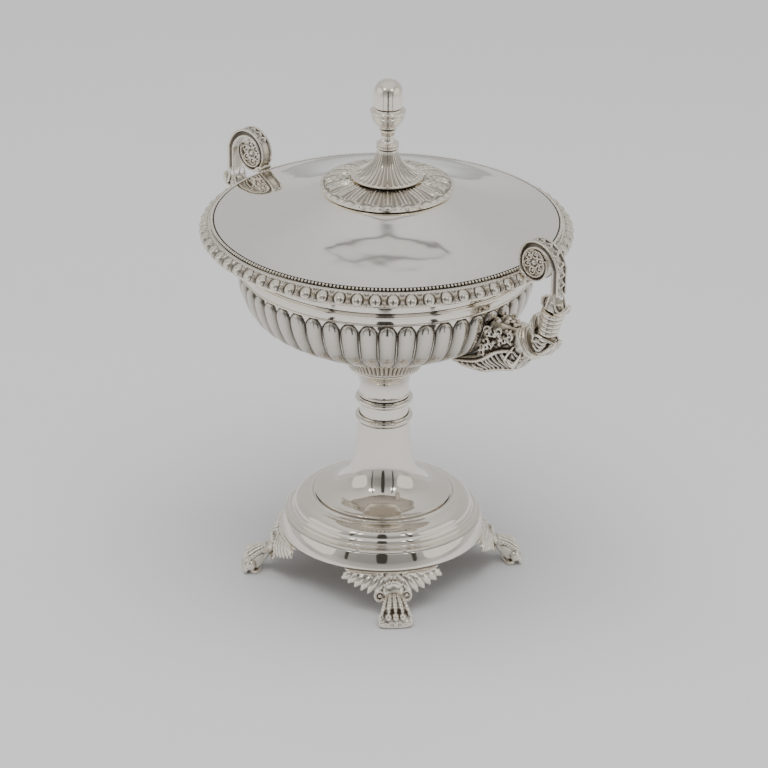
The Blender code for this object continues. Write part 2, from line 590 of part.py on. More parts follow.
def make_scroll(tag, side):
    """The arm that curls over into a round scroll, with its rosettes and the rim leaf."""
    foot_z = on_handle(0, 0.908)[1] + GAP
    spread = SCROLL_OPEN_RADIUS - SCROLL_RADIUS
    outer = [(SCROLL_X + SCROLL_OPEN_RADIUS, foot_z)]
    for degrees in range(0, 181, 18):
        a = math.radians(degrees)
        radius = SCROLL_RADIUS + spread * (1 - degrees / 180) ** 1.6
        outer.append((SCROLL_X + radius * math.cos(a), SCROLL_Z + radius * math.sin(a)))
    under = arc((SCROLL_X, SCROLL_Z), (SCROLL_RADIUS, SCROLL_RADIUS), 198, 350, 8)
    inside = SCROLL_X + SCROLL_OPEN_RADIUS - ARM_THICKNESS
    notch = [(inside - 1.9 * MM, SCROLL_Z - 0.6 * MM), (inside - 0.5 * MM, SCROLL_Z - 2.6 * MM),
             (inside, SCROLL_Z - 6.0 * MM), (inside, foot_z)]
    scroll = plate("handle_scroll_" + tag, outer + under + notch, HANDLE_WIDTH / 2, CAST, side)

    petals = 6
    floor = HANDLE_WIDTH / 2 - ROSETTE_POCKET
    for face, sign in (("near", -1), ("far", 1)):
        pocket = round_block("pocket_" + face + "_" + tag, side, sign * floor,
                             sign * (HANDLE_WIDTH / 2 + 1 * MM), ROSETTE_RADIUS + 0.5 * MM, 0.0, 24)
        pocket.display_type = "WIRE"
        pocket.hide_render = True
        cut = scroll.modifiers.new("pocket_" + face, "BOOLEAN")
        cut.operation = "DIFFERENCE"
        cut.solver = "EXACT"
        cut.object = pocket
        round_block("rosette_" + face + "_" + tag, side, sign * (floor + GAP),
                    sign * (floor + GAP + ROSETTE_THICKNESS), ROSETTE_RADIUS, 0.05, 4 * petals)

    # Rim leaf: sits on the border and holds the scroll's underside.
    inner = LIP_RADIUS + 0.8 * MM
    seat = [(inner, RIM_Z + 0.6 * MM), (inner + 2.4 * MM, RIM_Z - 0.1 * MM),
            (BORDER_RADIUS + 0.4 * MM, RIM_Z - 3.0 * MM), (BORDER_RADIUS + 2.2 * MM, RIM_Z - 2.6 * MM)]
    cradle = arc((SCROLL_X, SCROLL_Z), (SCROLL_RADIUS + GAP, SCROLL_RADIUS + GAP), 262, 204, 5)
    plate("rim_leaf_" + tag, seat + cradle, RIM_LEAF_WIDTH / 2, CAST, side)


# ------------------------------------------------------------------ build

for old in list(bpy.data.objects):
    bpy.data.objects.remove(old)

make_foot_skirt()
make_foot_moulding()
make_foot_trumpet()
make_stem()
for number, foot_angle in enumerate(FOOT_ANGLES, 1):
    make_foot("foot_" + str(number), foot_angle)
make_bowl()
make_rim_border()
make_shoulder_wire()
make_lid()
make_finial()
make_handle("right", 1)
make_handle("left", -1)
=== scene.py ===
from math import copysign, cos, exp, hypot, pi, radians, sin, sqrt

import bmesh
import bpy
import numpy as np
from mathutils import Matrix, Vector


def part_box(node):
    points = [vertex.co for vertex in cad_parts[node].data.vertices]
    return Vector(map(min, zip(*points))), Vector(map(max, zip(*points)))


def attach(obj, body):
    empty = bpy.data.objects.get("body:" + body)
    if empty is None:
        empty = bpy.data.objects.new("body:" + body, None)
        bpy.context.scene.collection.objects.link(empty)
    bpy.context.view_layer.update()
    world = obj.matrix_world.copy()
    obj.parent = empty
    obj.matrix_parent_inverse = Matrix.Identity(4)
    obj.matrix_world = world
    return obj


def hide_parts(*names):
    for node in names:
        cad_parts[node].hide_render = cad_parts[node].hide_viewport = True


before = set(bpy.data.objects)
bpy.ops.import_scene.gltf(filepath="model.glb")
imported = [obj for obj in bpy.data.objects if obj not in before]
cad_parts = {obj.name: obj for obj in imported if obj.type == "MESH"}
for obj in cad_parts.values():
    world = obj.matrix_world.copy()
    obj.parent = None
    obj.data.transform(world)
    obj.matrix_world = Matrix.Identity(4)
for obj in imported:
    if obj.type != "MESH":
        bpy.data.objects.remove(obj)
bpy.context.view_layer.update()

MM = 0.001
SEED = 7                    # for the foliage and the berries


# ------------------------------------------------------------------ finishes

def feed(tree, node, inputs):
    """Give each input of a node its value, or link it to another node's output."""
    for name, value in inputs.items():
        if isinstance(value, bpy.types.NodeSocket):
            tree.links.new(value, node.inputs[name])
        else:
            node.inputs[name].default_value = value


def add(tree, kind, inputs=None, **options):
    """The outputs of a new node with these options and inputs."""
    node = tree.nodes.new(kind)
    for option, value in options.items():
        setattr(node, option, value)
    feed(tree, node, inputs or {})
    return node.outputs


def new_finish(name):
    """A new material and its node tree."""
    finish = bpy.data.materials.new(name)
    finish.use_nodes = True
    return finish, finish.node_tree


def silver(name, clean, mottle_and_shade_colour, roughness, wave, wear):
    """A silver finish: clean metal with a faint random mottle, darkened by painted shade in its hollows, with
    soft waves and fine wear.
    """
    finish, tree = new_finish(name)
    place = add(tree, "ShaderNodeTexCoord")["Object"]
    hollow_shade = add(tree, "ShaderNodeAttribute", attribute_name="hollow_shade")["Fac"]

    def noise(scale, detail):
        return add(tree, "ShaderNodeTexNoise", {"Vector": place, "Scale": scale, "Detail": detail})["Fac"]

    def blend(value, share, base):
        return add(tree, "ShaderNodeMath", {0: value, 1: share, 2: base}, operation="MULTIPLY_ADD")["Value"]

    def ranged(value, limits):
        return add(tree, "ShaderNodeMapRange", {"Value": value, **limits})["Result"]

    # Painted shade: the stored hollow amount, plus a faint random mottle, mixes the clean colour towards the
    # dark second colour.
    shade_and_mottle = ranged(blend(noise(140, 4), 0.16, hollow_shade), {"From Min": 0.08, "From Max": 1.05})
    colour = add(tree, "ShaderNodeMix", {"Factor": shade_and_mottle, "A": (*clean, 1), "B": (*mottle_and_shade_colour, 1)},
                 data_type="RGBA")
    rough = ranged(noise(2600, 3), {"To Min": roughness * 0.75, "To Max": roughness * 1.25})
    swell = add(tree, "ShaderNodeBump", {"Strength": 1.0, "Distance": wave * MM, "Height": noise(38, 2)})
    feed(tree, tree.nodes["Principled BSDF"],
         {"Metallic": 1.0, "Base Color": colour["Result"], "Roughness": blend(hollow_shade, wear, rough),
          "Normal": swell["Normal"]})
    return finish


# The second colour of each finish is its painted shade colour, which also tints a faint random mottle.
POLISHED = silver("polished silver", (0.86, 0.81, 0.73), (0.07, 0.055, 0.04), 0.075, 0.10, 0.25)
LID_SILVER = silver("polished lid silver", (0.95, 0.925, 0.875), (0.40, 0.33, 0.26), 0.06, 0.22, 0.25)
CAST = silver("chased silver", (0.94, 0.88, 0.775), (0.085, 0.062, 0.04), 0.17, 0.05, 0.30)
# A darker copy of the chased finish: painted shade for the handle pieces and the seat under the lid's beads.
DARK_CAST = silver("chased silver, toned", (0.88, 0.82, 0.715), (0.05, 0.037, 0.025), 0.20, 0.05, 0.30)
WORN = silver("worn silver", (0.70, 0.66, 0.60), (0.20, 0.16, 0.12), 0.32, 0.05, 0.20)


# ------------------------------------------------------------------ making pieces

def copies_tree():
    """Geometry nodes that set copies of a piece round an upright line and join them."""
    tree = bpy.data.node_groups.new("copies round a line", "GeometryNodeTree")
    for name, kind in (("Piece", "Geometry"), ("Copies", "Int"), ("Centre", "Vector"),
                       ("Join within", "Float"), ("Finish", "Material")):
        tree.interface.new_socket(name, in_out="INPUT", socket_type="NodeSocket" + kind)
    tree.interface.new_socket("Result", in_out="OUTPUT", socket_type="NodeSocketGeometry")
    given = add(tree, "NodeGroupInput")
    back = add(tree, "ShaderNodeVectorMath", {0: given["Centre"], "Scale": -1.0}, operation="SCALE")
    centred = add(tree, "GeometryNodeTransform", {"Geometry": given["Piece"], "Translation": back[0]})
    points = add(tree, "GeometryNodePoints", {"Count": given["Copies"], "Position": given["Centre"]})
    index = add(tree, "GeometryNodeInputIndex")
    part = add(tree, "ShaderNodeMath", {0: index[0], 1: given["Copies"]}, operation="DIVIDE")
    angle = add(tree, "ShaderNodeMath", {0: part[0], 1: 2 * pi}, operation="MULTIPLY")
    about_z = add(tree, "ShaderNodeCombineXYZ", {"Z": angle[0]})
    turn = add(tree, "FunctionNodeEulerToRotation", {0: about_z[0]})
    place = add(tree, "GeometryNodeInstanceOnPoints",
                {"Points": points[0], "Instance": centred[0], "Rotation": turn[0]})
    real = add(tree, "GeometryNodeRealizeInstances", {0: place[0]})
    join = add(tree, "GeometryNodeMergeByDistance",
               {"Geometry": real[0], "Distance": given["Join within"]})
    finish = add(tree, "GeometryNodeSetMaterial", {"Geometry": join[0], "Material": given["Finish"]})
    add(tree, "NodeGroupOutput", {0: finish[0]})
    return tree


COPIES = copies_tree()
SET_BACK = (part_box("handle_scroll_right")[0].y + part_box("handle_scroll_right")[1].y) / 2
HANDLE_CENTRE = (0, SET_BACK, 0)


def copied(unit, copies, finish, centre=(0, 0, 0), join=0.002 * MM):
    """The unit's mesh set round an upright line as often as asked, as a plain mesh."""
    modifier = unit.modifiers.new("copies", "NODES")
    modifier.node_group = COPIES
    inputs = {item.name: item.identifier for item in COPIES.interface.items_tree if item.in_out == "INPUT"}
    modifier[inputs["Copies"]] = copies
    modifier[inputs["Centre"]] = centre
    modifier[inputs["Join within"]] = join
    modifier[inputs["Finish"]] = finish
    return settled(unit)


def settled(piece):
    """The piece with its modifiers worked into its mesh."""
    graph = bpy.context.evaluated_depsgraph_get()
    mesh = bpy.data.meshes.new_from_object(piece.evaluated_get(graph))
    piece.modifiers.clear()
    piece.data = mesh
    return piece


def linked(name, data):
    """An object with this data, linked to the scene."""
    made = bpy.data.objects.new(name, data)
    bpy.context.scene.collection.objects.link(made)
    return made


def new_object(name, verts, faces):
    """An object with this mesh, in metres."""
    mesh = bpy.data.meshes.new(name)
    mesh.from_pydata([tuple(v) for v in verts], [], faces)
    return linked(name, mesh)


def mark_hollow_shade(mesh, passes, depth, ground=0.0):
    """Store, from 0 to 1, the painted shade of each point: how far it lies below the smoothed surface, plus a
    ground level.
    """
    count = len(mesh.vertices)
    points = np.empty(count * 3, np.float32)
    mesh.vertices.foreach_get("co", points)
    points = points.reshape(-1, 3).astype(float)
    normals = np.empty(count * 3, np.float32)
    mesh.vertices.foreach_get("normal", normals)
    normals = normals.reshape(-1, 3)
    edges = np.empty(len(mesh.edges) * 2, np.int32)
    mesh.edges.foreach_get("vertices", edges)
    a, b = edges.reshape(-1, 2).T
    near = np.bincount(a, minlength=count) + np.bincount(b, minlength=count)
    near = np.maximum(near, 1)[:, None]
    soft = points.copy()
    for _ in range(passes):
        total = np.stack([np.bincount(a, soft[b, k], count) + np.bincount(b, soft[a, k], count)
                          for k in range(3)], 1)
        soft = 0.4 * soft + 0.6 * total / near
    below = ((soft - points) * normals).sum(1) / (depth * MM)
    attribute = mesh.attributes.new("hollow_shade", "FLOAT", "POINT")
    attribute.data.foreach_set("value", np.clip(ground + below, 0, 1).astype(np.float32))


def hand_in(piece, finish, body, nodes, crease=38, hollow_shading=None):
    """Finish a piece: outward faces, smooth shading, painted shade in its hollows, its body and its CAD
    nodes.
    """
    mesh = piece.data
    shape = bmesh.new()
    shape.from_mesh(mesh)
    bmesh.ops.remove_doubles(shape, verts=shape.verts, dist=0.002 * MM)
    bmesh.ops.dissolve_degenerate(shape, edges=shape.edges, dist=0.0005 * MM)
    bmesh.ops.recalc_face_normals(shape, faces=shape.faces)
    shape.to_mesh(mesh)
    shape.free()
    mesh.materials.clear()
    mesh.materials.append(finish)
    mesh.shade_smooth()
    mesh.set_sharp_from_angle(angle=radians(crease))
    if hollow_shading:
        mark_hollow_shade(mesh, *hollow_shading)
    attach(piece, body)
    if nodes:
        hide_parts(*nodes)
    return piece


def curve(points, steps=6):
    """A smooth curve through the points, with the given number of steps between two."""
    points = [np.array(p, float) for p in points]
    ends = [points[0]] + points + [points[-1]]
    made = []
    for a, b, c, d in zip(ends, ends[1:], ends[2:], ends[3:]):
        for t in np.arange(steps) / steps:
            made.append(0.5 * (2 * b + (c - a) * t + (2 * a - 5 * b + 4 * c - d) * t * t
                               + (3 * b - a - 3 * c + d) * t ** 3))
    return made + [points[-1]]


def arc(centre, radii, start, end, steps=8):
    """Points on an ellipse's arc between two angles in degrees."""
    angles = np.radians(np.linspace(start, end, steps + 1))
    return [np.array((centre[0] + radii[0] * cos(t), centre[1] + radii[1] * sin(t))) for t in angles]


def around(count):
    """Angles that go once round, evenly."""
    return np.linspace(0, 2 * pi, count, endpoint=False)


def evenly(path, count, fine=0, after=1.0):
    """The path resampled to count points, and to fine more beyond a share of its length."""
    path = np.array(path, float)
    length = np.concatenate([[0], np.cumsum(np.linalg.norm(np.diff(path, axis=0), axis=1))])
    shares = np.concatenate([np.linspace(0, after, count), np.linspace(after, 1, fine + 1)[1:]])
    wanted = length[-1] * shares
    return np.stack([np.interp(wanted, length, path[:, k]) for k in range(2)], 1)


def turned(name, runs, copies, columns, finish, body, nodes, crease=38, hollow_shading=None):
    """A turned piece.

    Each run is a list of (radius, height) points in millimetres, or such a list with a
    relief: a function of the place across one repeat and along the run that gives how far
    the surface stands out and how much painted shade darkens it.  The runs go up the outer
    side and down the inner one.
    """
    rows = []
    shade_amounts = []
    for run in runs:
        points, relief = run if isinstance(run, tuple) else (run, None)
        points = np.array(points, float)
        slope = np.gradient(points, axis=0)
        outward = np.stack([slope[:, 1], -slope[:, 0]], 1)
        outward /= np.linalg.norm(outward, axis=1)[:, None] + 1e-9
        step = np.concatenate([[0], np.cumsum(np.linalg.norm(np.diff(points, axis=0), axis=1))])
        step /= step[-1]
        for point, normal, s in zip(points, outward, step):
            row = []
            for column in range(columns + 1):
                u = column / columns
                stand, shade_amount = relief(u, s, 2 * pi * point[0] / copies) if relief else (0.0, 0.0)
                shade_amounts.append(shade_amount)
                r, z = point + normal * stand
                a = 2 * pi / copies * (u - 0.5)
                row.append((r * cos(a) * MM, r * sin(a) * MM, z * MM))
            rows.append(row)
    wide = columns + 1
    verts = [v for row in rows for v in row]
    faces = []
    open_ended = rows[0][0][0] < 0.01 * MM and rows[-1][0][0] < 0.01 * MM
    for i in range(len(rows) - (1 if open_ended else 0)):
        j = (i + 1) % len(rows)
        for c in range(columns):
            faces.append((i * wide + c, i * wide + c + 1, j * wide + c + 1, j * wide + c))
    unit = new_object(name, verts, faces)
    # Painted shade given by the reliefs, stored on the points.
    if not hollow_shading:
        unit.data.attributes.new("hollow_shade", "FLOAT", "POINT").data.foreach_set("value", shade_amounts)
    piece = copied(unit, copies, finish)
    return hand_in(piece, finish, body, nodes, crease, hollow_shading)


class Lump:
    """Strokes, balls and slabs that are run together into one cast piece."""

    def __init__(self):
        self.verts = []
        self.faces = []

    def rings(self, rings):
        """Close a row of equal rings of points into a body."""
        start = len(self.verts)
        size = len(rings[0])
        for ring in rings:
            self.verts += [tuple(np.array(p) * MM) for p in ring]
        for i in range(len(rings) - 1):
            for k in range(size):
                m = (k + 1) % size
                self.faces.append((start + i * size + k, start + i * size + m,
                                   start + (i + 1) * size + m, start + (i + 1) * size + k))
        last = start + (len(rings) - 1) * size
        self.faces.append(tuple(range(start + size - 1, start - 1, -1)))
        self.faces.append(tuple(range(last, last + size)))

    def stroke(self, points, widths, depths, flat=(0, 1, 0), steps=5, sides=8):
        """A stroke along a smooth curve; flat is the way its depth is measured."""
        path = np.array(curve(points, steps))
        n = len(path)
        wide = np.interp(np.linspace(0, 1, n), np.linspace(0, 1, len(widths)), widths)
        deep = np.interp(np.linspace(0, 1, n), np.linspace(0, 1, len(depths)), depths)
        along = np.gradient(path, axis=0)
        along /= np.linalg.norm(along, axis=1)[:, None] + 1e-9
        flat = np.array(flat, float)
        rings = []
        for point, way, w, d in zip(path, along, wide, deep):
            side = np.cross(way, flat)
            side /= np.linalg.norm(side) + 1e-9
            up = np.cross(side, way)
            rings.append([point + side * w * cos(t) + up * d * sin(t)
                          for t in around(sides)])
        self.rings(rings)

    def ball(self, centre, radii, sides=10):
        """An ellipsoid."""
        rings = []
        for t in np.linspace(-0.97, 0.97, sides // 2 + 2):
            cut = sqrt(1 - t * t)
            rings.append([(centre[0] + radii[0] * cut * cos(a), centre[1] + radii[1] * cut * sin(a),
                           centre[2] + radii[2] * t) for a in around(sides)])
        self.rings(rings)

    def loop(self, points, width, depth, flat=(0, 1, 0)):
        """A closed stroke, drawn past its start so that the ends run together."""
        points = list(points)
        self.stroke(points + points[:2], (width, width), (depth, depth), flat, steps=3)

    def cast(self, name, grain, ease=2):
        """All of it run together, with a grain in millimetres."""
        piece = new_object(name, self.verts, self.faces)
        shape = bmesh.new()
        shape.from_mesh(piece.data)
        bmesh.ops.recalc_face_normals(shape, faces=shape.faces)
        shape.to_mesh(piece.data)
        shape.free()
        melt = piece.modifiers.new("melt", "REMESH")
        melt.mode = "VOXEL"
        melt.voxel_size = grain * MM
        if ease:
            soften = piece.modifiers.new("soften", "SMOOTH")
            soften.iterations = ease
            soften.factor = 0.5
        return settled(piece)


def spots(place, *each):
    """The points that a placing function gives for several sets of measures."""
    return [place(*measures) for measures in each]


def squared(angle, power):
    """A point of a unit circle pushed out towards a square."""
    return [copysign(abs(part) ** power, part) for part in (cos(angle), sin(angle))]


def heights(node):
    """Lowest and highest point of a CAD node, in millimetres."""
    low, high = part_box(node)
    return low.z / MM, high.z / MM


def reach(node):
    """How far a CAD node reaches along X, in millimetres."""
    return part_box(node)[1].x / MM


SMOOTH = 128                # facets round a plain turned piece

# ------------------------------------------------------------------ pedestal

low, top = heights("foot_skirt")
R = reach("foot_skirt")
turned("foot_band", [[(R - 0.3, low), (R, low + 0.4), (R - 1.4, top - 0.3), (R - 1.7, top)],
                     [(R - 2.4, top), (R - 1.0, low)]], SMOOTH, 1, POLISHED, "bowl", ["foot_skirt"])

low, top = heights("foot_moulding")
R = reach("foot_moulding")
swell = arc((31.0, low + 4.0), (R - 4.0 - 31.0, top - low - 4.9), 0, 82, 12)
turned("foot_moulding_ring", [
    [(R - 0.2, low), (R, low + 0.3)], curve([(R, low + 0.4), (R - 0.7, low + 1.0), (R - 1.7, low + 1.2)], 4),
    curve([(R - 1.8, low + 1.3), (R - 1.7, low + 2.0), (R - 2.2, low + 2.6), (R - 3.0, low + 2.7)], 4),
    [(R - 3.2, low + 2.8), (R - 3.3, low + 3.3)], swell,
    [(31.6, top - 0.7), (31.4, top - 0.6)], arc((30.7, top - 0.6), (0.7, 0.6), 0, 150, 6),
    [(28.0, top - 0.2), (28.0, top - 2.4), (35.0, top - 5.0), (R - 5.0, low + 3.0), (R - 3.6, low)]],
    SMOOTH, 1, POLISHED, "bowl", ["foot_moulding"])

low, top = heights("foot_trumpet")
rise = top - low
turned("foot_trumpet_flare", [
    curve([(29.4, low), (28.6, low + 0.5), (25.0, low + 1.3), (20.4, low + 0.075 * rise + 0.6),
           (15.9, low + 0.22 * rise), (13.5, low + 0.38 * rise), (12.0, low + 0.60 * rise),
           (11.4, low + 0.82 * rise), (11.2, top)], 6),
    [(9.1, top), (10.4, low + 0.44 * rise), (14.2, low + 0.2 * rise), (24.6, low)]],
    SMOOTH, 1, POLISHED, "bowl", ["foot_trumpet"])

low, top = heights("stem_tube")
turned("stem_tube_plain", [[(10.5, low), (10.5, top)], [(9.0, top), (9.0, low)]],
       SMOOTH, 1, POLISHED, "bowl", ["stem_tube"])
# Knop rings, with painted shade in the hollows where they meet the tube.
for node, name in (("knop_ring_lower", "knop_lower"), ("knop_ring_upper", "knop_upper")):
    low, top = heights(node)
    middle, half = (low + top) / 2, (top - low) / 2
    turned(name, [[(10.8, low), (11.3, low)], arc((11.2, middle), (1.3, half - 0.35), -80, 80, 12),
                  [(11.3, top), (10.8, top)]], SMOOTH, 1, POLISHED, "bowl", [node], 50, (4, 0.5))
low, top = heights("stem_spool")
rise = top - low
turned("stem_spool_flare", [
    [(10.9, low), (11.2, low + 0.4), (11.2, low + 1.0), (10.8, low + 1.4)],
    curve([(10.7, low + 1.6), (10.7, low + 0.42 * rise), (11.6, low + 0.68 * rise), (13.2, low + 0.88 * rise),
           (14.8, top - 0.3)], 5), [(15.0, top - 0.1), (14.9, top), (9.0, top), (9.0, low)]],
    SMOOTH, 1, POLISHED, "bowl", ["stem_spool"])

REEDS = 58
low, top = heights("milled_ring")


def reed(u, s, pitch):
    """One upright reed of the milled ring, with painted shade between the reeds."""
    fade = min(1.0, s / 0.06, (1 - s) / 0.06)
    round_off = sqrt(max(0.0, 1 - ((2 * u - 1) / 0.97) ** 2))
    return 0.5 * fade * (round_off - 0.75), 0.15 + 0.85 * fade * (1 - round_off) ** 0.6


turned("milled_collar", [
    [(15.0, low), (15.6, low + 0.1)], arc((15.4, low + 0.55), (0.55, 0.45), -60, 70, 5),
    (evenly(curve([(15.6, low + 1.1), (16.6, low + 3.4), (19.0, top - 0.9)], 6), 12), reed),
    [(19.5, top - 0.6), (19.7, top - 0.3), (19.5, top), (9.0, top), (9.0, low)]],
    REEDS, 8, CAST, "bowl", ["milled_ring"], 40)


# ------------------------------------------------------------------ bowl

BOWL_R = 62.2
base, rim = heights("bowl_shell")
BODY = 37.3
shoulder = base + BODY
GADROONS = 48


def gadroon(u, s, pitch):
    """One lobe of the body, with a rounded top and a narrow groove on each side; painted shade lies over the
    whole lobe and deepens on its flanks.
    """
    start, wide, height = 0.925, 0.96, 1.0
    if s > start:
        share = min(1.0, (s - start) / (0.993 - start))
        wide *= sqrt(1 - share ** 2)
        height = sqrt(1 - 0.75 * share ** 2)
    across = abs(2 * u - 1)
    lobe = (1 - (across / wide) ** 2.2) ** 0.6 if across < wide else 0.0
    stand = 0.235 * pitch * (lobe * height - 0.74) if s < 0.995 else -0.03 * pitch
    return stand * min(1.0, s / 0.04), 0.22 + 0.78 * (1 - lobe) ** 1.1 if s < 0.995 else 0.5


body_side = [(0.322, 0.0), (0.428, 0.072), (0.556, 0.165), (0.714, 0.30), (0.880, 0.475),
             (0.955, 0.66), (0.992, 0.84), (1.0, 1.0)]
body_side = curve([(r * BOWL_R, base + h * BODY) for r, h in body_side], 6)
inside = [(0.0, 1.2), (20.0, 1.6), (34.0, 7.8), (43.7, 12.9), (53.6, 18.0), (58.4, 25.2), (60.4, 32.0),
          (60.8, 37.3), (60.8, 44.9)]
inside = curve([(r, base + h) for r, h in inside], 4)[::-1]
cove = curve([(62.2, base + 44.9), (62.6, base + 47.6), (64.2, base + 49.8), (67.0, base + 51.3),
              (70.8, base + 52.1), (73.9, base + 52.3)], 5)
turned("bowl", [
    [(0.0, base), (19.8, base)], (evenly(body_side, 26, 18, 0.91), gadroon),
    curve([(62.3, shoulder + 0.2), (62.6, shoulder + 0.5), (62.4, shoulder + 0.9)], 3),
    [(62.0, shoulder + 1.1), (61.9, shoulder + 4.0)],
    curve([(62.0, shoulder + 4.2), (62.3, shoulder + 4.9), (62.0, shoulder + 5.6)], 3), cove,
    [(74.0, base + 52.6), (74.0, rim - 0.3), (73.7, rim), (71.7, rim), (71.4, rim - 0.3)],
    curve([(71.4, base + 54.0), (70.6, base + 53.1), (66.0, base + 52.2), (62.4, base + 49.6)], 4), inside],
    GADROONS, 18, POLISHED, "bowl", ["bowl_shell"], 34)

low, top = heights("shoulder_wire")
turned("shoulder_bead", [arc((62.6, (low + top) / 2), (0.8, (top - low) / 2), -90, 90, 10)],
       SMOOTH, 1, POLISHED, "bowl", ["shoulder_wire"], 60)

EGGS = 66


def bump(x, wide):
    """A soft bump of height 1 around 0."""
    return exp(-(x / wide) ** 2)


def egg(u, s, pitch):
    """One egg in its raised shell, with half a dart at each side; painted shade darkens the sunken ground
    round them.
    """
    x = (u - 0.5) * 2
    y = (s - 0.50) * 2
    fade = min(1.0, s / 0.06, (1 - s) / 0.06)
    q = hypot(x / 0.60, y / 0.98)
    yolk = 1.15 * sqrt(max(0.0, 1 - q * q))
    shell = 0.7 * bump(hypot(x / 0.86, y / 1.2) - 0.96, 0.07)
    dart = 0.75 * bump(1 - abs(x), 0.08)
    lace = 0.5 * (0.5 + 0.5 * cos(7.5 * (2.2 * abs(x) + 1.3 * y))) if hypot(x / 0.86, y / 1.2) > 1.04 else 0.0
    height = max(yolk, shell, dart, lace)
    return fade * (height - 0.66), 0.12 + 0.8 * fade * max(0.0, 1 - height / 0.55)


low, top = heights("rim_border")
face = curve([(77.5, low + 0.8), (78.3, low + 1.4), (78.45, low + 2.5), (77.7, low + 3.9), (76.3, low + 5.0),
              (74.9, low + 5.55)], 5)
turned("egg_and_dart_border", [
    [(74.4, low), (76.6, low)], arc((77.0, low + 0.4), (0.55, 0.4), -90, 40, 5), (evenly(face, 26), egg),
    [(74.8, top - 0.1), (74.6, top), (74.3, top)]],
    EGGS, 22, CAST, "bowl", ["rim_border"], 40)


# ------------------------------------------------------------------ lid

LID_SHEET = 0.9
edge_z, crown = heights("lid_plate")
edge_z += LID_SHEET
LID_R = reach("lid_plate")
lid_side = [(1.0, 0.0), (0.914, 0.080), (0.804, 0.205), (0.693, 0.340), (0.582, 0.490), (0.471, 0.655),
            (0.388, 0.775), (0.277, 0.905), (0.205, 0.965)]
lid_side = curve([(r * LID_R, edge_z + h * (crown - edge_z)) for r, h in lid_side] + [(1.7, crown)], 5)
turned("lid_dome", [lid_side, [(r, z - LID_SHEET) for r, z in lid_side[::-1]]],
       160, 1, LID_SILVER, "lid", ["lid_plate"])

low, top = heights("lid_bead_edge")
BEADS = 294
BEAD_R = 0.69
bead_middle = (73.3, (low + top) / 2)
unit = Lump()
unit.ball((bead_middle[0], 0, bead_middle[1]), (BEAD_R, 0.58, 0.61), 8)
beads = copied(new_object("lid_beads", unit.verts, unit.faces), BEADS, CAST, join=0.0)
hand_in(beads, CAST, "lid", ["lid_bead_edge"], 80)


def all_painted_shade(u, s, pitch):
    """Plain, and darkened all over with painted shade."""
    return 0.0, 1.0


# A dark ring under the beads: painted shadow where they sit on the lid.
turned("lid_bead_seat", [([(72.35, low + 0.05), (73.0, low + 0.1), (73.1, low + 0.4), (72.9, top - 0.3),
                           (72.35, top - 0.2)], all_painted_shade)], SMOOTH, 1, DARK_CAST, "lid", [])

low, top = heights("lid_bezel")
R = reach("lid_bezel")
turned("lid_bezel_band", [[(R - 0.2, low), (R, low + 0.3), (R, top)], [(R - 1.0, top), (R - 1.0, low)]],
       SMOOTH, 1, WORN, "lid", ["lid_bezel"])

LEAVES = 20


def palmette(u, s, pitch):
    """One tongue of the calyx, from the edge inwards, with the paired stems between tongues; painted shade
    darkens the sunken parts.
    """
    x = abs(u - 0.5) * 2
    wide = 0.70 - 0.34 * s
    line = bump(x - wide, 0.085) if 0.17 < s < 0.95 else 0.0
    if s <= 0.26:
        y = (0.26 - s) / 0.12
        line = max(line, bump(hypot(x / wide, y) - 1, 0.14) if y < 1.4 else 0.0)
    vein = 0.55 * bump(x, 0.10) if 0.2 < s < 0.93 else 0.0
    stem = 0.8 * bump(x - 0.97, 0.09) if 0.2 < s < 0.95 else 0.0
    edge = 0.9 * (0.72 + 0.28 * cos(4 * pi * u)) if 0.012 < s < 0.11 else 0.0
    height = max(line, vein, stem, edge)
    return 0.75 * (height - 0.62), 0.62 * max(0.0, 1 - height / 0.7) if 0.02 < s < 0.97 else 0.0


low, top = heights("finial_calyx")
leafy = curve([(28.1, low + 0.9), (24.5, low + 2.3), (20.0, low + 3.4), (14.6, top)], 8)
turned("finial_calyx_leaves", [[(27.2, low - 0.6), (27.9, low - 0.6), (28.2, low - 0.4), (28.2, low + 0.4)],
                               (evenly(leafy, 44), palmette), [(13.0, top), (1.8, top)],
                               [(1.8, top - 0.8), (15.2, top - 0.8)]],
       LEAVES, 30, CAST, "lid", ["finial_calyx"], 50)

FLUTES = 36


def flute(u, s, pitch):
    """One flute of the finial's trumpet, rounded off above the lip, with painted shade in the groove."""
    across = abs(2 * u - 1)
    wide = 0.80 * (sqrt(max(0.0, 1 - ((0.10 - s) / 0.07) ** 2)) if s < 0.10 else 1.0) if s > 0.03 else 0.0
    if s > 0.97 or across >= wide:
        return 0.0, 0.0
    deep = sqrt(1 - (across / wide) ** 2)
    return -0.34 * pitch * deep, 0.6 * deep ** 2


low, top = heights("finial_trumpet")
rise = top - low
side = curve([(14.3, low + 1.0), (10.4, low + 0.23 * rise), (7.2, low + 0.46 * rise),
              (5.5, low + 0.68 * rise), (4.4, top - 0.7)], 7)
turned("finial_trumpet_flutes", [[(14.0, low), (14.9, low + 0.1)],
        arc((14.75, low + 0.5), (0.45, 0.45), -60, 120, 6), (evenly(side, 30), flute),
        [(4.3, top - 0.4), (4.3, top), (2.0, top), (2.0, top - 1.0), (5.0, low + 0.5 * rise), (12.0, low)]],
       FLUTES, 10, CAST, "lid", ["finial_trumpet"], 50)

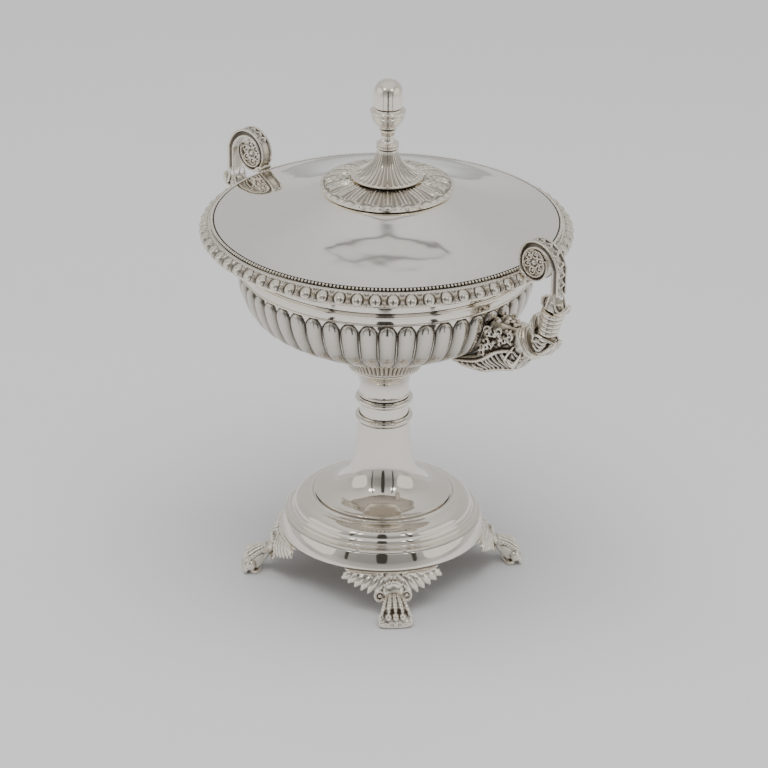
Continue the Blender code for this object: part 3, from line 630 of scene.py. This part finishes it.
# Neck with painted shade in the hollows between its rings.
low, top = heights("finial_neck")
turned("finial_neck_turning",
       [[(1.7, low), (4.0, low)], arc((4.1, low + 0.55), (0.7, 0.5), -80, 80, 7),
        [(4.05, low + 1.15), (4.05, low + 1.35)], arc((4.05, low + 2.0), (0.75, 0.6), -80, 80, 7),
        curve([(3.9, low + 2.8), (3.1, low + 3.6), (2.7, low + 5.0), (2.75, low + 6.2), (3.3, top - 1.2),
               (3.4, top - 0.9)], 5), [(3.6, top - 0.8), (3.6, top - 0.1), (3.3, top), (0, top)],
        [(0, low + 6.0), (1.7, low + 6.0)]],
       SMOOTH // 2, 1, CAST, "lid", ["finial_neck"], 50, (3, 0.3))

# Acorn cup: fine rings with painted shade in the grooves between them.
low, top = heights("acorn_cup")
cup_side = [np.array(p) for p in ((2.6, low), (2.45, low + 0.5), (2.7, low + 1.0))]
for t in np.linspace(0, 1, 60):
    r = 3.0 + 3.8 * sqrt(1 - (1 - t) ** 2)
    ripple = 0.16 * cos(t ** 0.9 * 5 * 2 * pi) if t > 0.1 else 0.0
    cup_side.append(np.array((r + ripple, low + 1.1 + t * (top - low - 3.6))))
acorn_r = reach("acorn_nut")
turned("acorn_cup_rings", [
    [(0, low), (2.5, low)], cup_side, arc((6.6, top - 1.75), (0.95, 0.95), -70, 80, 12),
    [(acorn_r, top - 0.75), (acorn_r - 0.02, top), (0, top)]],
    SMOOTH // 2, 1, CAST, "lid", ["acorn_cup"], 50, (8, 0.16))

low, top = heights("acorn_nut")
R = reach("acorn_nut")
turned("acorn", [[(0, low), (R - 0.3, low)],
                 curve([(R, low + 0.3), (R, low + 3.0), (R - 0.05, low + 6.4), (R - 0.6, low + 8.7),
                        (R - 1.9, low + 10.5), (R - 3.7, low + 11.5), (0.7, top - 0.15), (0, top)], 7)],
       SMOOTH, 1, CAST, "lid", ["acorn_nut"], 50)

for node in ("finial_stud", "finial_washer", "finial_nut"):
    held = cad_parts[node]
    held.data.materials.clear()
    held.data.materials.append(WORN)


# ------------------------------------------------------------------ paw feet

def paw_foot():
    """One cast paw under its leaf bracket, radially outwards along X."""
    lump = Lump()
    top = heights("foot_1")[1]
    heel = 42.9
    stations = [(0.0, 8.2, top - 0.2, 5.0), (4.4, 7.4, 16.0, 4.6), (6.6, 6.6, 12.2, 4.0),
                (9.0, 3.4, 10.6, 4.3), (11.6, 0.5, 10.4, 5.4), (14.4, 0.25, 8.6, 6.5), (16.6, 0.2, 5.0, 6.9),
                (17.8, 0.3, 3.4, 6.4)]
    rings = []
    for x, low, high, half in stations:
        middle = (low + high) / 2
        tall = (high - low) / 2
        rings.append([(heel + x, half * y, middle + tall * z)
                      for y, z in (squared(t, 0.7) for t in around(20))])
    lump.rings(rings)
    # Ridges of fur that run down the paw to five toes, each with a claw.
    for k in range(-2, 3):
        spread = k / 2
        for t in np.linspace(0, 1, 7):
            x = heel + 8.2 + 7.4 * t
            z = 10.9 - 0.3 * spread ** 2 - 3.4 * t ** 1.7
            lump.ball((x, spread * (3.2 + 2.6 * t), z - 0.5 * abs(spread) ** 2), (1.0, 0.85, 0.95), 8)
        lump.ball((heel + 15.7 - 0.9 * spread ** 2, spread * 6.0, 4.3 - 0.3 * abs(spread)), (2.1, 1.5, 2.5))
        claw = [(heel + x - 0.9 * spread ** 2, spread * y, z)
                for x, y, z in ((16.6, 6.2, 3.6), (17.8, 6.5, 2.4), (17.9, 6.6, 0.9))]
        lump.stroke(claw, (0.9, 0.8, 0.35), (0.9, 0.8, 0.35), steps=3)
    pad = ((0.12, 0.97), (1.0, 1.0), (1.5, 0.95))
    lump.rings([[(heel + 9.6 + 7.0 * (1 + cos(t)) / 2 * s + (1 - s) * 3.0, 6.8 * sin(t) * s, z)
                 for t in around(24)] for z, s in pad])
    lump.stroke([(heel + 8.2, -4.3, 9.2), (heel + 8.4, 0, 11.0), (heel + 8.2, 4.3, 9.2)], (0.9, 0.9, 0.9),
                (0.9, 0.9, 0.9))

    # Leaf bracket: a curved slab that hangs under the band, with overlapping lobes on it.
    def on_band(degrees, drop, out=0.0):
        a = radians(degrees)
        r = 44.3 + 0.28 * drop + out
        return np.array((r * cos(a), r * sin(a), top - drop))

    def depth(degrees):
        return 2.2 + 9.6 * max(0.0, 1 - abs(degrees) / 29) ** 0.85

    rings = []
    for a in np.linspace(-28, 28, 33):
        d = depth(a) - 3.0
        rings.append(spots(on_band, (a, 0.0, -1.6), (a, 0.0, 0.3), (a, d, 0.0), (a, d, -1.2)))
    lump.rings(rings)
    for side in (-1, 1):
        for k in range(7):
            a = 26.3 - 3.6 * k
            d = depth(a)
            start = on_band(side * max(a - 6.5, 0.5), 0.6 + 0.05 * d, 0.2)
            bend = on_band(side * (a - 2.2), 0.5 * d, 1.0 + 0.08 * k)
            tip = on_band(side * (a + 1.2), d + 0.35, 0.9)
            lump.stroke([start, bend, tip], (0.7, 1.75, 1.6, 0.4), (0.45, 1.05, 0.95, 0.35),
                        (cos(radians(side * a)), sin(radians(side * a)), 0.15))
            vein = [start + np.array((0.5, 0, 0.2)), bend + np.array((0.75, 0, 0)),
                    tip + np.array((0.3, 0, 0.6))]
            lump.stroke(vein, (0.3, 0.35, 0.25), (0.3, 0.4, 0.25))
        for k in range(4):
            lump.stroke(spots(on_band, (side * (8 + 2 * k), 0.9 + 0.5 * k, 0.7),
                              (side * (17 + k), 0.9 + 0.5 * k, 0.8),
                              (side * (27.5 - 1.5 * k), 1.2 + 0.55 * k, 0.6)), (0.45, 0.6, 0.3),
                        (0.4, 0.6, 0.3))
        # Scroll at each side of the ankle.
        ring = [on_band(side * (6.8 + 2.3 * cos(t)), 9.3 + 2.0 * sin(t), 1.3)
                for t in np.linspace(0, 2 * pi, 9)[:-1]]
        lump.loop(ring, 0.7, 0.8, (1, 0, 0))
        lump.ball(on_band(side * 6.8, 9.3, 1.0), (0.9, 0.9, 0.9))
    # Palmette in the middle: a fan of small petals over a row of four beads and two arcs.
    for k in range(-3, 4):
        a = radians(22 * k)
        root = on_band(0, 5.6, 1.8)
        tip = root + np.array((0.1, 4.3 * sin(a), 3.8 * cos(a)))
        lump.stroke([root, (root + tip) / 2 + np.array((0.5, 0, 0)), tip], (0.4, 0.65, 0.6, 0.3),
                    (0.5, 0.8, 0.7, 0.3), (1, 0, 0))
    for k in range(4):
        lump.ball(on_band((k - 1.5) * 1.9, 6.4, 2.1), (0.8, 0.75, 0.75))
    for drop, span in ((8.2, 3.9), (9.9, 3.2)):
        lump.stroke(spots(on_band, (-span, drop - 1.1, 1.3), (0, drop, 2.1), (span, drop - 1.1, 1.3)),
                    (0.55, 0.7, 0.55), (0.6, 0.8, 0.6), (1, 0, 0))
    return lump.cast("paw_feet", 0.34, 1)


feet = paw_foot()
feet.data.transform(Matrix.Rotation(radians(-40), 4, "Z"))
feet = copied(feet, 4, CAST, join=0.0)
# Painted shade in the crevices of the feet.
hand_in(feet, CAST, "bowl", ["foot_1", "foot_2", "foot_3", "foot_4"], 180, (14, 0.19, 0.14))


# ------------------------------------------------------------------ handles

SCROLL_X, SCROLL_Z = 82.5, 168.1
HANDLE_X = SCROLL_X - 3.4


def on_handle(out, share, across=0.0):
    """A point of the handle: out from its line, a share of its height, and across it."""
    return np.array((HANDLE_X + out, across, 103.5 + share * 58.0))


def both_sides(lump, name, grain, ease, nodes, finish=DARK_CAST, hollow_shading=(18, 0.24, 0.42)):
    """Cast a piece of the right handle, set it in place and repeat it for the left one, with painted shade
    over it that leaves its ridges pale.
    """
    piece = lump.cast(name, grain, ease)
    piece.data.transform(Matrix.Translation((0, SET_BACK, 0)))
    piece = copied(piece, 2, finish, HANDLE_CENTRE, 0.0)
    return hand_in(piece, finish, "bowl", [n + "_" + t for n in nodes for t in ("right", "left")], 180,
                   hollow_shading)


# Carrying leaf: stations of keel, top edge and half width, as on the solid below it.
def bowl_height(r):
    table = [(0.322, 0.0), (0.428, 0.072), (0.556, 0.165), (0.714, 0.30), (0.892, 0.46), (0.949, 0.65),
             (1.0, 0.84)]
    return 103.5 + BODY * float(np.interp(r / BOWL_R, [t[0] for t in table], [t[1] for t in table]))


root_z = bowl_height(0.6 * BOWL_R)
LEAF = []
for share, lean, keel, half in ((0.6, 0.4, -1.1, 2.2), (0.75, 0.6, -1.2, 5.0), (0.885, 0.9, 0.0, 7.5),
                                (0.985, 0.6, 1.8, 8.8)):
    r = share * BOWL_R
    LEAF.append((np.array((r, root_z + keel)), np.array((r + lean + 0.3, bowl_height(r))), half))
top_z = 103.5 + 0.585 * 58
LEAF += [(np.array((BOWL_R + 3.0, root_z + 3.2)), np.array((BOWL_R + 1.0, top_z)), 8.6)]
for a, b, half in (((-8.5, 0.215), (-11.0, 0.585), 7.2), ((-3.0, 0.240), (-7.4, 0.573), 6.0),
                   ((-1.6, 0.295), (-5.2, 0.575), 5.4), ((3.0, 0.372), (-3.0, 0.581), 5.0)):
    LEAF.append((on_handle(*a)[[0, 2]], on_handle(*b)[[0, 2]], half))
SECTION = ((0.30, 0.0), (0.80, 0.14), (1.0, 0.42), (0.92, 0.86), (0.55, 1.0))


def on_leaf(t, rise, side, out=0.0):
    """A point on the carrying leaf: t along it, rise up it, on one side, and out from it."""
    place = t * (len(LEAF) - 1)
    i = min(int(place), len(LEAF) - 2)
    f = place - i
    keel, top, half = [LEAF[i][k] * (1 - f) + LEAF[i + 1][k] * f for k in range(3)]
    wide = float(np.interp(rise, [s[1] for s in SECTION], [s[0] for s in SECTION]))
    x, z = keel + rise * (top - keel)
    return np.array((x, side * (wide * half * 0.93 + out), z))


chance = np.random.default_rng(SEED)
leaf = Lump()
rings = []
for t in np.linspace(0, 1, 25):
    row = [on_leaf(t, rise, -1) for rise in (0.03, 0.14, 0.42, 0.62, 0.86, 0.97)]
    rings.append(row + [p * np.array((1, -1, 1)) for p in row[::-1]])
leaf.rings(rings)
for side in (-1, 1):
    flat = (0, side, 0)
    leaf.stroke([on_leaf(t, 0.46 - 0.04 * t, side, 0.5) for t in (0.02, 0.3, 0.6, 0.86)], (0.5, 0.9, 0.8),
                (0.5, 0.9, 0.9), flat)
    leaf.stroke([on_leaf(t, 0.06, side, 0.9 + 1.0 * sin(pi * t)) for t in (0.02, 0.3, 0.55, 0.74)],
                (0.4, 0.65, 0.6), (0.4, 0.7, 0.6), flat)
    for k in range(15):
        t = 0.06 + 0.057 * k
        if 0.66 < t < 0.74:
            continue
        leaf.stroke(spots(on_leaf, (t, 0.41, side, 0.3), (t + 0.045, 0.24, side, 0.55),
                          (min(t + 0.12, 0.98), 0.09, side, 0.8)), (0.45, 0.62, 0.5), (0.45, 0.65, 0.5), flat)
    # Curled leaf at the lower outer end, with three ribs and a tip that the painted shade leaves bright.
    for k in range(5):
        leaf.stroke(spots(on_leaf, (0.66 + 0.02 * k, 0.40 - 0.03 * k, side, 0.9),
                          (0.76, 0.25 - 0.035 * k, side, 1.6),
                          (0.84 + 0.035 * k, 0.16 - 0.02 * k + 0.01 * k * k, side, 1.3)), (0.5, 0.65, 0.4),
                    (0.5, 0.7, 0.4), flat)
    leaf.stroke(spots(on_leaf, (0.90, 0.52, side, 0.8), (0.76, 0.44, side, 1.2), (0.69, 0.26, side, 1.4),
                      (0.72, 0.04, side, 1.0)), (0.4, 0.6, 0.55, 0.4), (0.4, 0.75, 0.7, 0.4), flat)
    # Foliage and berries against the bowl.
    for k in range(16):
        t, rise = 0.34 + 0.46 * chance.random(), 0.54 + 0.36 * chance.random()
        turn, size = chance.random() * 2 * pi, 1.5 + 0.9 * chance.random()
        middle = on_leaf(t, rise, side, 0.4)
        path = [middle + size * s * np.array((cos(turn + q), 0, sin(turn + q)))
                + np.array((0, side * 0.9 * (1 - s), 0))
                for q, s in ((0, 1.0), (1.3, 0.95), (2.6, 0.8), (3.9, 0.55), (5.2, 0.25))]
        leaf.stroke(path, (0.3, 0.5, 0.55, 0.35), (0.35, 0.6, 0.7, 0.4), flat, steps=3)
    for k in range(26):
        leaf.ball(on_leaf(0.36 + 0.48 * chance.random(), 0.52 + 0.42 * chance.random(), side, 0.5),
                  (0.75, 0.75, 0.75), 8)
for k in range(12):
    t = 0.42 + 0.045 * k
    middle = on_leaf(t, 0.98, 1)
    leaf.ball((middle[0], middle[1] * (chance.random() * 1.6 - 0.8), middle[2] + 0.1), (1.1, 1.2, 1.0), 8)
both_sides(leaf, "handle_leaves", 0.33, 1, ["handle_leaf"], DARK_CAST, (16, 0.24, 0.42))

# Tie: two parallel bands wound round the handle.
tie = Lump()
middle = on_handle(1.9, 0.488)
along = np.array((0.887, 0, 0.461))
rise_way = np.array((-0.461, 0, 0.887))
for shift in (-0.95, 0.95):
    path = [middle + along * shift + rise_way * 6.6 * cos(a) + np.array((0, 4.9 * sin(a), 0))
            for a in np.linspace(0, 2 * pi, 17)[:-1]]
    path.append(path[0])
    rings = []
    for i, point in enumerate(path):
        a = 2 * pi * i / 16
        out = rise_way * cos(a) + np.array((0, sin(a), 0))
        rings.append([point + along * 0.74 * cos(q) + out * 1.15 * sin(q) for q in around(12)])
    tie.rings(rings)
tie.rings([[middle + along * s + rise_way * 6.3 * cos(a) + np.array((0, 4.6 * sin(a), 0))
            for a in around(24)] for s in (-1.2, 1.2)])
both_sides(tie, "handle_ties", 0.24, 1, ["handle_tie"], DARK_CAST, (24, 0.28, 0.25))

# Calyx above the tie: a ribbed core, an inner curled leaf and an outer one whose tip the painted shade leaves
# bright.
calyx = Lump()
calyx.stroke(spots(on_handle, (4.6, 0.53), (8.5, 0.545), (10.2, 0.585)), (4.6, 4.6, 3.9), (4.0, 4.2, 4.0))
for y in (-3.2, -1.1, 1.1, 3.2):
    calyx.stroke(spots(on_handle, (6.2, 0.44, y * 0.7), (11.0, 0.463, y), (14.6, 0.520, y),
                       (15.9, 0.562, y * 0.6)), (0.7, 1.1, 0.9, 0.6), (0.6, 0.8, 0.7, 0.5))
    calyx.stroke(spots(on_handle, (3.6, 0.60, y * 0.7), (3.9, 0.66, y * 0.9), (4.5, 0.722, y * 0.5)),
                 (0.6, 0.9, 0.5), (0.6, 0.8, 0.4))
calyx.stroke(spots(on_handle, (6.4, 0.47), (11.5, 0.492), (15.2, 0.548)), (3.4, 3.0, 1.0), (3.4, 3.2, 1.4),
             steps=6, sides=12)
calyx.stroke(spots(on_handle, (3.6, 0.60), (3.9, 0.66), (4.4, 0.716)), (1.6, 1.2, 0.6), (3.0, 2.6, 0.9),
             sides=12)
for side in (-1, 1):
    for k in range(4):
        calyx.stroke(spots(on_handle, (5.5 + 0.8 * k, 0.50 + 0.03 * k, side * 3.4),
                           (8.5 + 0.8 * k, 0.475 + 0.03 * k, side * 3.7),
                           (11.6 + 0.6 * k, 0.51 + 0.02 * k, side * 2.8)), (0.5, 0.6, 0.4), (0.5, 0.7, 0.4))
    calyx.stroke(spots(on_handle, (5.2, 0.56, side * 3.2), (8.2, 0.590, side * 3.9),
                       (12.0, 0.572, side * 3.4), (16.0, 0.548, side * 1.2)), (0.6, 0.75, 0.7, 0.5),
                 (0.6, 0.8, 0.7, 0.5))
    calyx.stroke(spots(on_handle, (5.0, 0.52, side * 2.9), (5.9, 0.58, side * 3.8), (5.0, 0.66, side * 2.9),
                       (4.6, 0.722, side * 0.9)), (0.6, 0.7, 0.6, 0.4), (0.6, 0.7, 0.6, 0.4))
both_sides(calyx, "handle_calyxes", 0.28, 1, ["handle_calyx"])

# Ring stack on its leaning axis.
rings_lump = Lump()
low_end, high_end = on_handle(10.5, 0.600), on_handle(13.2, 0.788)
axis = high_end - low_end
tall = np.linalg.norm(axis)
axis /= tall
sideways = np.array((axis[2], 0, -axis[0]))
RING_COUNT = 5
outline = []
for k in range(RING_COUNT):
    radius = 4.15 + 0.8 * k / (RING_COUNT - 1)
    step = tall / RING_COUNT
    for q in np.linspace(-75, 75, 9):
        outline.append((radius - 0.75 + 0.85 * cos(radians(q)),
                        (k + 0.5) * step + 0.46 * step * sin(radians(q))))
rings_lump.rings([[low_end + axis * z + sideways * r * cos(a) + np.array((0, r * sin(a), 0))
                   for a in around(48)] for r, z in outline])
ring_stack = new_object("handle_rings", rings_lump.verts, rings_lump.faces)
ring_stack.data.transform(Matrix.Translation((0, SET_BACK, 0)))
ring_stack = copied(ring_stack, 2, CAST, HANDLE_CENTRE, 0.0)
# Painted shade between the rings.
hand_in(ring_stack, DARK_CAST, "bowl", ["handle_rings_right", "handle_rings_left"], 60, (10, 0.5, 0.30))

# Sheath: a cup of leaves round the foot of the arm, whose tips curl outwards.
sheath = Lump()
sheath.stroke(spots(on_handle, (13.3, 0.80), (13.6, 0.84), (14.2, 0.875)), (4.9, 4.6, 3.4), (3.4, 3.4, 2.8),
              sides=16)
for y in (-1.9, 0, 1.9):
    sheath.stroke(spots(on_handle, (15.5, 0.785, y), (18.6, 0.800, y), (20.6, 0.836, y * 0.6),
                        (21.3, 0.866, 0)), (0.9, 1.1, 1.0, 0.7), (0.9, 1.2, 1.1, 0.9))
    sheath.stroke(spots(on_handle, (11.0, 0.800, y), (9.0, 0.836, y), (8.3, 0.880, y * 0.5)), (0.9, 0.9, 0.5),
                  (0.9, 1.0, 0.7))
for side in (-1, 1):
    sheath.stroke(spots(on_handle, (19.0, 0.80, side * 1.6), (17.0, 0.83, side * 2.9),
                        (15.4, 0.93, side * 3.0)), (0.5, 0.6, 0.4), (0.4, 0.5, 0.35))
    sheath.stroke(spots(on_handle, (9.6, 0.80, side * 2.2), (11.8, 0.83, side * 3.0),
                        (13.6, 0.93, side * 3.0)), (0.5, 0.6, 0.4), (0.4, 0.5, 0.35))
both_sides(sheath, "handle_sheaths", 0.28, 1, ["handle_sheath"])

# Arm and scroll: a channelled bar that rises and curls over into a round, hollowed end.
OPEN_R, END_R, THICK, HALF = 14.1, 7.9, 3.7, 3.0
path = [(SCROLL_X + OPEN_R - THICK / 2, z) for z in np.linspace(157.0, SCROLL_Z - 1.0, 8)]
for degrees in np.arange(0, 390, 7.5):
    radius = END_R + (OPEN_R - END_R) * max(0.0, 1 - degrees / 180) ** 1.6
    a = radians(degrees)
    bar = THICK if degrees < 120 else THICK - 1.4 * min(1.0, (degrees - 120) / 120)
    path.append((SCROLL_X + (radius - bar / 2) * cos(a), SCROLL_Z + (radius - bar / 2) * sin(a)))
path = np.array(path)
scroll = Lump()
way = np.gradient(path, axis=0)
way /= np.linalg.norm(way, axis=1)[:, None]
rings = []
for i, ((x, z), (dx, dz)) in enumerate(zip(path, way)):
    bar = THICK / 2 if i < 22 else THICK / 2 - 0.7 * min(1.0, (i - 22) / 14)
    out = np.array((dz, 0, -dx))
    ring = []
    for across, stand in ((-1, -0.9), (-0.88, -1), (0.88, -1), (1, -0.9), (1, -0.55), (0.74, -0.36),
                          (0.74, 0.36), (1, 0.55), (1, 0.9), (0.9, 1), (0.76, 1), (0.64, 0.55), (-0.64, 0.55),
                          (-0.76, 1), (-0.9, 1), (-1, 0.9), (-1, 0.55), (-0.74, 0.36), (-0.74, -0.36),
                          (-1, -0.55)):
        ring.append(np.array((x, across * HALF, z)) + out * stand * bar)
    rings.append(ring)
scroll.rings(rings)
for side in (-1, 1):
    # Small leaves along the outer channel.
    for i in range(0, 26, 3):
        (x, z), (dx, dz) = path[i], way[i]
        scroll.stroke([(x + dz * 0.95 - dx * 1.0, side * 0.10 * HALF, z - dx * 0.95 - dz * 1.0),
                       (x + dz * 1.15, side * 0.50 * HALF, z - dx * 1.15),
                       (x + dz * 1.05 + dx * 1.5, side * 0.34 * HALF, z - dx * 1.05 + dz * 1.5)],
                      (0.35, 0.6, 0.3), (0.3, 0.45, 0.3), (dz, 0, -dx), steps=3)
scroll.rings([[(SCROLL_X + 6.9 * cos(a), y, SCROLL_Z + 6.9 * sin(a)) for a in around(40)]
              for y in (-1.1, 1.1)])
both_sides(scroll, "handle_scrolls", 0.26, 1, ["handle_scroll"], DARK_CAST, (24, 0.26, 0.30))

# Rosettes: six petals with raised outlines round a boss, on both sides of each scroll.
rose = Lump()
for side in (-1, 1):
    rose.rings([[(SCROLL_X + 5.7 * cos(a), side * y, SCROLL_Z + 5.7 * sin(a)) for a in around(36)]
                for y in (1.3, 1.75)])
    rose.ball((SCROLL_X, side * 2.0, SCROLL_Z), (1.05, 0.75, 1.05))
    for k in range(6):
        a = radians(60 * k + 20)
        ahead, aside = np.array((cos(a), 0, sin(a))), np.array((-sin(a), 0, cos(a)))
        middle = np.array((SCROLL_X, side * 1.95, SCROLL_Z)) + ahead * 3.7
        petal = [middle + ahead * 1.55 * cos(q) + aside * 1.3 * sin(q)
                 for q in np.linspace(0, 2 * pi, 8)[:-1]]
        rose.loop(petal, 0.36, 0.5, (0, side, 0))
        rose.ball(middle, (0.55, 0.35, 0.55), 8)
        between = np.array((SCROLL_X, side * 1.9, SCROLL_Z)) + 2.0 * (ahead * cos(0.52) + aside * sin(0.52))
        rose.stroke([between, between + 1.6 * (between - np.array((SCROLL_X, side * 1.9, SCROLL_Z))) / 2.0],
                    (0.25, 0.4), (0.35, 0.45), (0, side, 0), steps=3)
both_sides(rose, "rosettes", 0.2, 1, ["rosette_near", "rosette_far"], CAST, (14, 0.16, 0.25))

# Rim leaf: a small ribbed leaf between the border and the underside of the scroll.
rim_leaf = Lump()
rim_leaf.stroke([(75.4, 0, 162.6), (77.6, 0, 161.9), (79.8, 0, 160.9)], (1.2, 1.5, 1.1), (3.0, 3.7, 3.0),
                (0, 1, 0), sides=14)
for y in (-3.0, -1.5, 0, 1.5, 3.0):
    rim_leaf.stroke([(75.3, y * 0.7, 163.0), (77.4, y, 163.1 - 0.1 * abs(y)), (79.2, y * 1.05, 161.4),
                     (80.4, y * 0.9, 160.0)], (0.4, 0.7, 0.6, 0.4), (0.5, 0.75, 0.6, 0.4), (0, 1, 0))
both_sides(rim_leaf, "rim_leaves", 0.24, 1, ["rim_leaf"], CAST)


# ------------------------------------------------------------------ floor, light, camera

paper, paper_tree = new_finish("pale paper")
flecks = add(paper_tree, "ShaderNodeTexNoise",
             {"Vector": add(paper_tree, "ShaderNodeTexCoord")["Object"], "Scale": 9})
paper_grey = add(paper_tree, "ShaderNodeMix",
                 {"Factor": flecks["Fac"], "A": (0.655, 0.655, 0.668, 1), "B": (0.680, 0.680, 0.692, 1)},
                 data_type="RGBA")
feed(paper_tree, paper_tree.nodes["Principled BSDF"],
     {"Base Color": paper_grey["Result"], "Roughness": 0.7})
FLOOR_REACH = 9
floor = new_object("floor", [(x * FLOOR_REACH, y * FLOOR_REACH, 0)
                             for x, y in ((-1, -1), (1, -1), (1, 1), (-1, 1))], [(0, 1, 2, 3)])
floor.data.materials.append(paper)

CAMERA_AT = Vector((1124.3, -1164.3, 845.3)) * MM
AWAY_X, AWAY_Y = -0.6947, 0.7193    # the camera's heading
PITCH, ROLL = radians(25.13), radians(0.795)
SENSOR, LENS = 36, 196.2
away, side_way = Vector((AWAY_X, AWAY_Y, 0)), Vector((AWAY_Y, -AWAY_X, 0))
forward = Vector((AWAY_X * cos(PITCH), AWAY_Y * cos(PITCH), -sin(PITCH)))
up = side_way.cross(forward)
camera_x = cos(ROLL) * side_way + sin(ROLL) * up
camera_y = -sin(ROLL) * side_way + cos(ROLL) * up
camera = linked("camera", bpy.data.cameras.new("camera"))
camera.data.sensor_width = SENSOR
camera.data.lens = LENS
facing = Matrix((camera_x, camera_y, -forward)).transposed().to_4x4()
camera.matrix_world = Matrix.Translation(CAMERA_AT) @ facing
bpy.context.scene.camera = camera


def panel(name, position, target, width, height, watts):
    """A soft rectangular light aimed at a point."""
    light = bpy.data.lights.new(name, "AREA")
    light.shape = "RECTANGLE"
    light.size = width
    light.size_y = height
    light.energy = watts
    lamp = linked(name, light)
    lamp.location = position
    lamp.rotation_euler = (Vector(target) - Vector(position)).to_track_quat("-Z", "Y").to_euler()
    return lamp


overhead = panel("overhead panel", away * -0.35 + Vector((0, 0, 1.9)), away * -0.1, 1.6, 1.6, 34)
overhead.visible_glossy = False
for name, place in (("left panel", (-1.9, -1.1, 0.9)), ("right panel", (1.5, 1.7, 0.9))):
    panel(name, Vector(place), (0, 0, 0.12), 0.8, 1.3, 5).visible_glossy = False


def seen_only(name, verts, shade):
    """A flat card that shows in the silver and lights nothing."""
    finish, tree = new_finish(name)
    glow = add(tree, "ShaderNodeEmission", {"Color": (*shade, 1)})
    feed(tree, tree.nodes["Material Output"], {"Surface": glow[0]})
    card = new_object(name, verts, [tuple(range(len(verts)))])
    card.data.materials.append(finish)
    card.visible_diffuse = False
    card.visible_shadow = False
    card.visible_camera = False


def standing(degrees, distance, wide, low, high, squareness):
    """The outline of a standing card with rounded corners, some degrees round from the near side."""
    a = radians(degrees)
    out = -away * cos(a) + side_way * sin(a)
    across = Vector((out.y, -out.x, 0))
    verts = []
    for t in around(32):
        x, y = squared(t, squareness)
        verts.append(out * distance + across * x * wide / 2
                     + Vector((0, 0, (low + high + y * (high - low)) / 2)))
    return verts


def overhead_arch(more, distance):
    """The outline of an arched card high on the far side, widened by some degrees."""
    verts = []
    for sign, crest, drop in ((1, 62.8, 9.5), (-1, 57.3, 6.0)):
        for t in np.linspace(-1, 1, 25) * sign:
            beta = radians(t * (18.0 + more))
            lift = radians(crest + sign * more - drop * abs(t) ** 2.2)
            level = away * cos(beta) + side_way * sin(beta)
            verts.append((level * cos(lift) + Vector((0, 0, sin(lift)))) * distance + Vector((0, 0, 0.17)))
    return verts


seen_only("diffuser", overhead_arch(0.0, 1.9), (0.74, 0.735, 0.72))
seen_only("diffuser_frame", overhead_arch(0.7, 1.93), (0.13, 0.125, 0.12))
for name, degrees, wide in (("dark_middle", 0, 0.042), ("dark_left", -36, 0.014), ("dark_right", 33, 0.018)):
    seen_only(name, standing(degrees, 0.20, wide, 0.05, 0.34, 0.35), (0.06, 0.057, 0.052))
for name, degrees, wide in (("bright_left", -80, 1.0), ("bright_right", 76, 1.1)):
    seen_only(name, standing(degrees, 1.0, wide, 0.12, 0.85, 0.6), (1.02, 1.0, 0.96))
for name, degrees, wide, low in (("spark_left", -40, 0.34, 1.0), ("spark_right", 36, 0.28, 0.85)):
    seen_only(name, standing(degrees, 1.0, wide, low, low + 0.30, 0.6), (5.0, 4.9, 4.7))

world = bpy.data.worlds.new("studio")
bpy.context.scene.world = world
world.use_nodes = True
sky = world.node_tree
look = add(sky, "ShaderNodeTexCoord")["Generated"]
toward = add(sky, "ShaderNodeVectorMath", {0: look, 1: away}, operation="DOT_PRODUCT")["Value"]


def shades(source, stops):
    """A row of greys along one value of the view direction."""
    ramp = sky.nodes.new("ShaderNodeValToRGB")
    feed(sky, ramp, {"Fac": source})
    while len(ramp.color_ramp.elements) < len(stops):
        ramp.color_ramp.elements.new(0.5)
    for element, (place, shade) in zip(ramp.color_ramp.elements, stops):
        element.position = place
        element.color = (shade, shade, shade * 0.995, 1)
    return ramp.outputs["Color"]


level = shades(add(sky, "ShaderNodeMapRange", {"Value": toward, "From Min": -1.0})["Result"],
               ((0.0, 0.27), (0.10, 0.32), (0.24, 0.55), (0.46, 0.30), (0.62, 0.58), (1.0, 0.66)))
height = shades(add(sky, "ShaderNodeSeparateXYZ", {0: look})["Z"],
                ((0.0, 0.50), (0.10, 0.36), (0.20, 0.04), (0.55, 0.1), (0.85, 1.0)))
mixed = add(sky, "ShaderNodeMix", {"Factor": height, "A": level, "B": (0.80, 0.80, 0.795, 1)},
            data_type="RGBA")
feed(sky, sky.nodes["Background"], {"Color": mixed["Result"], "Strength": 1.0})
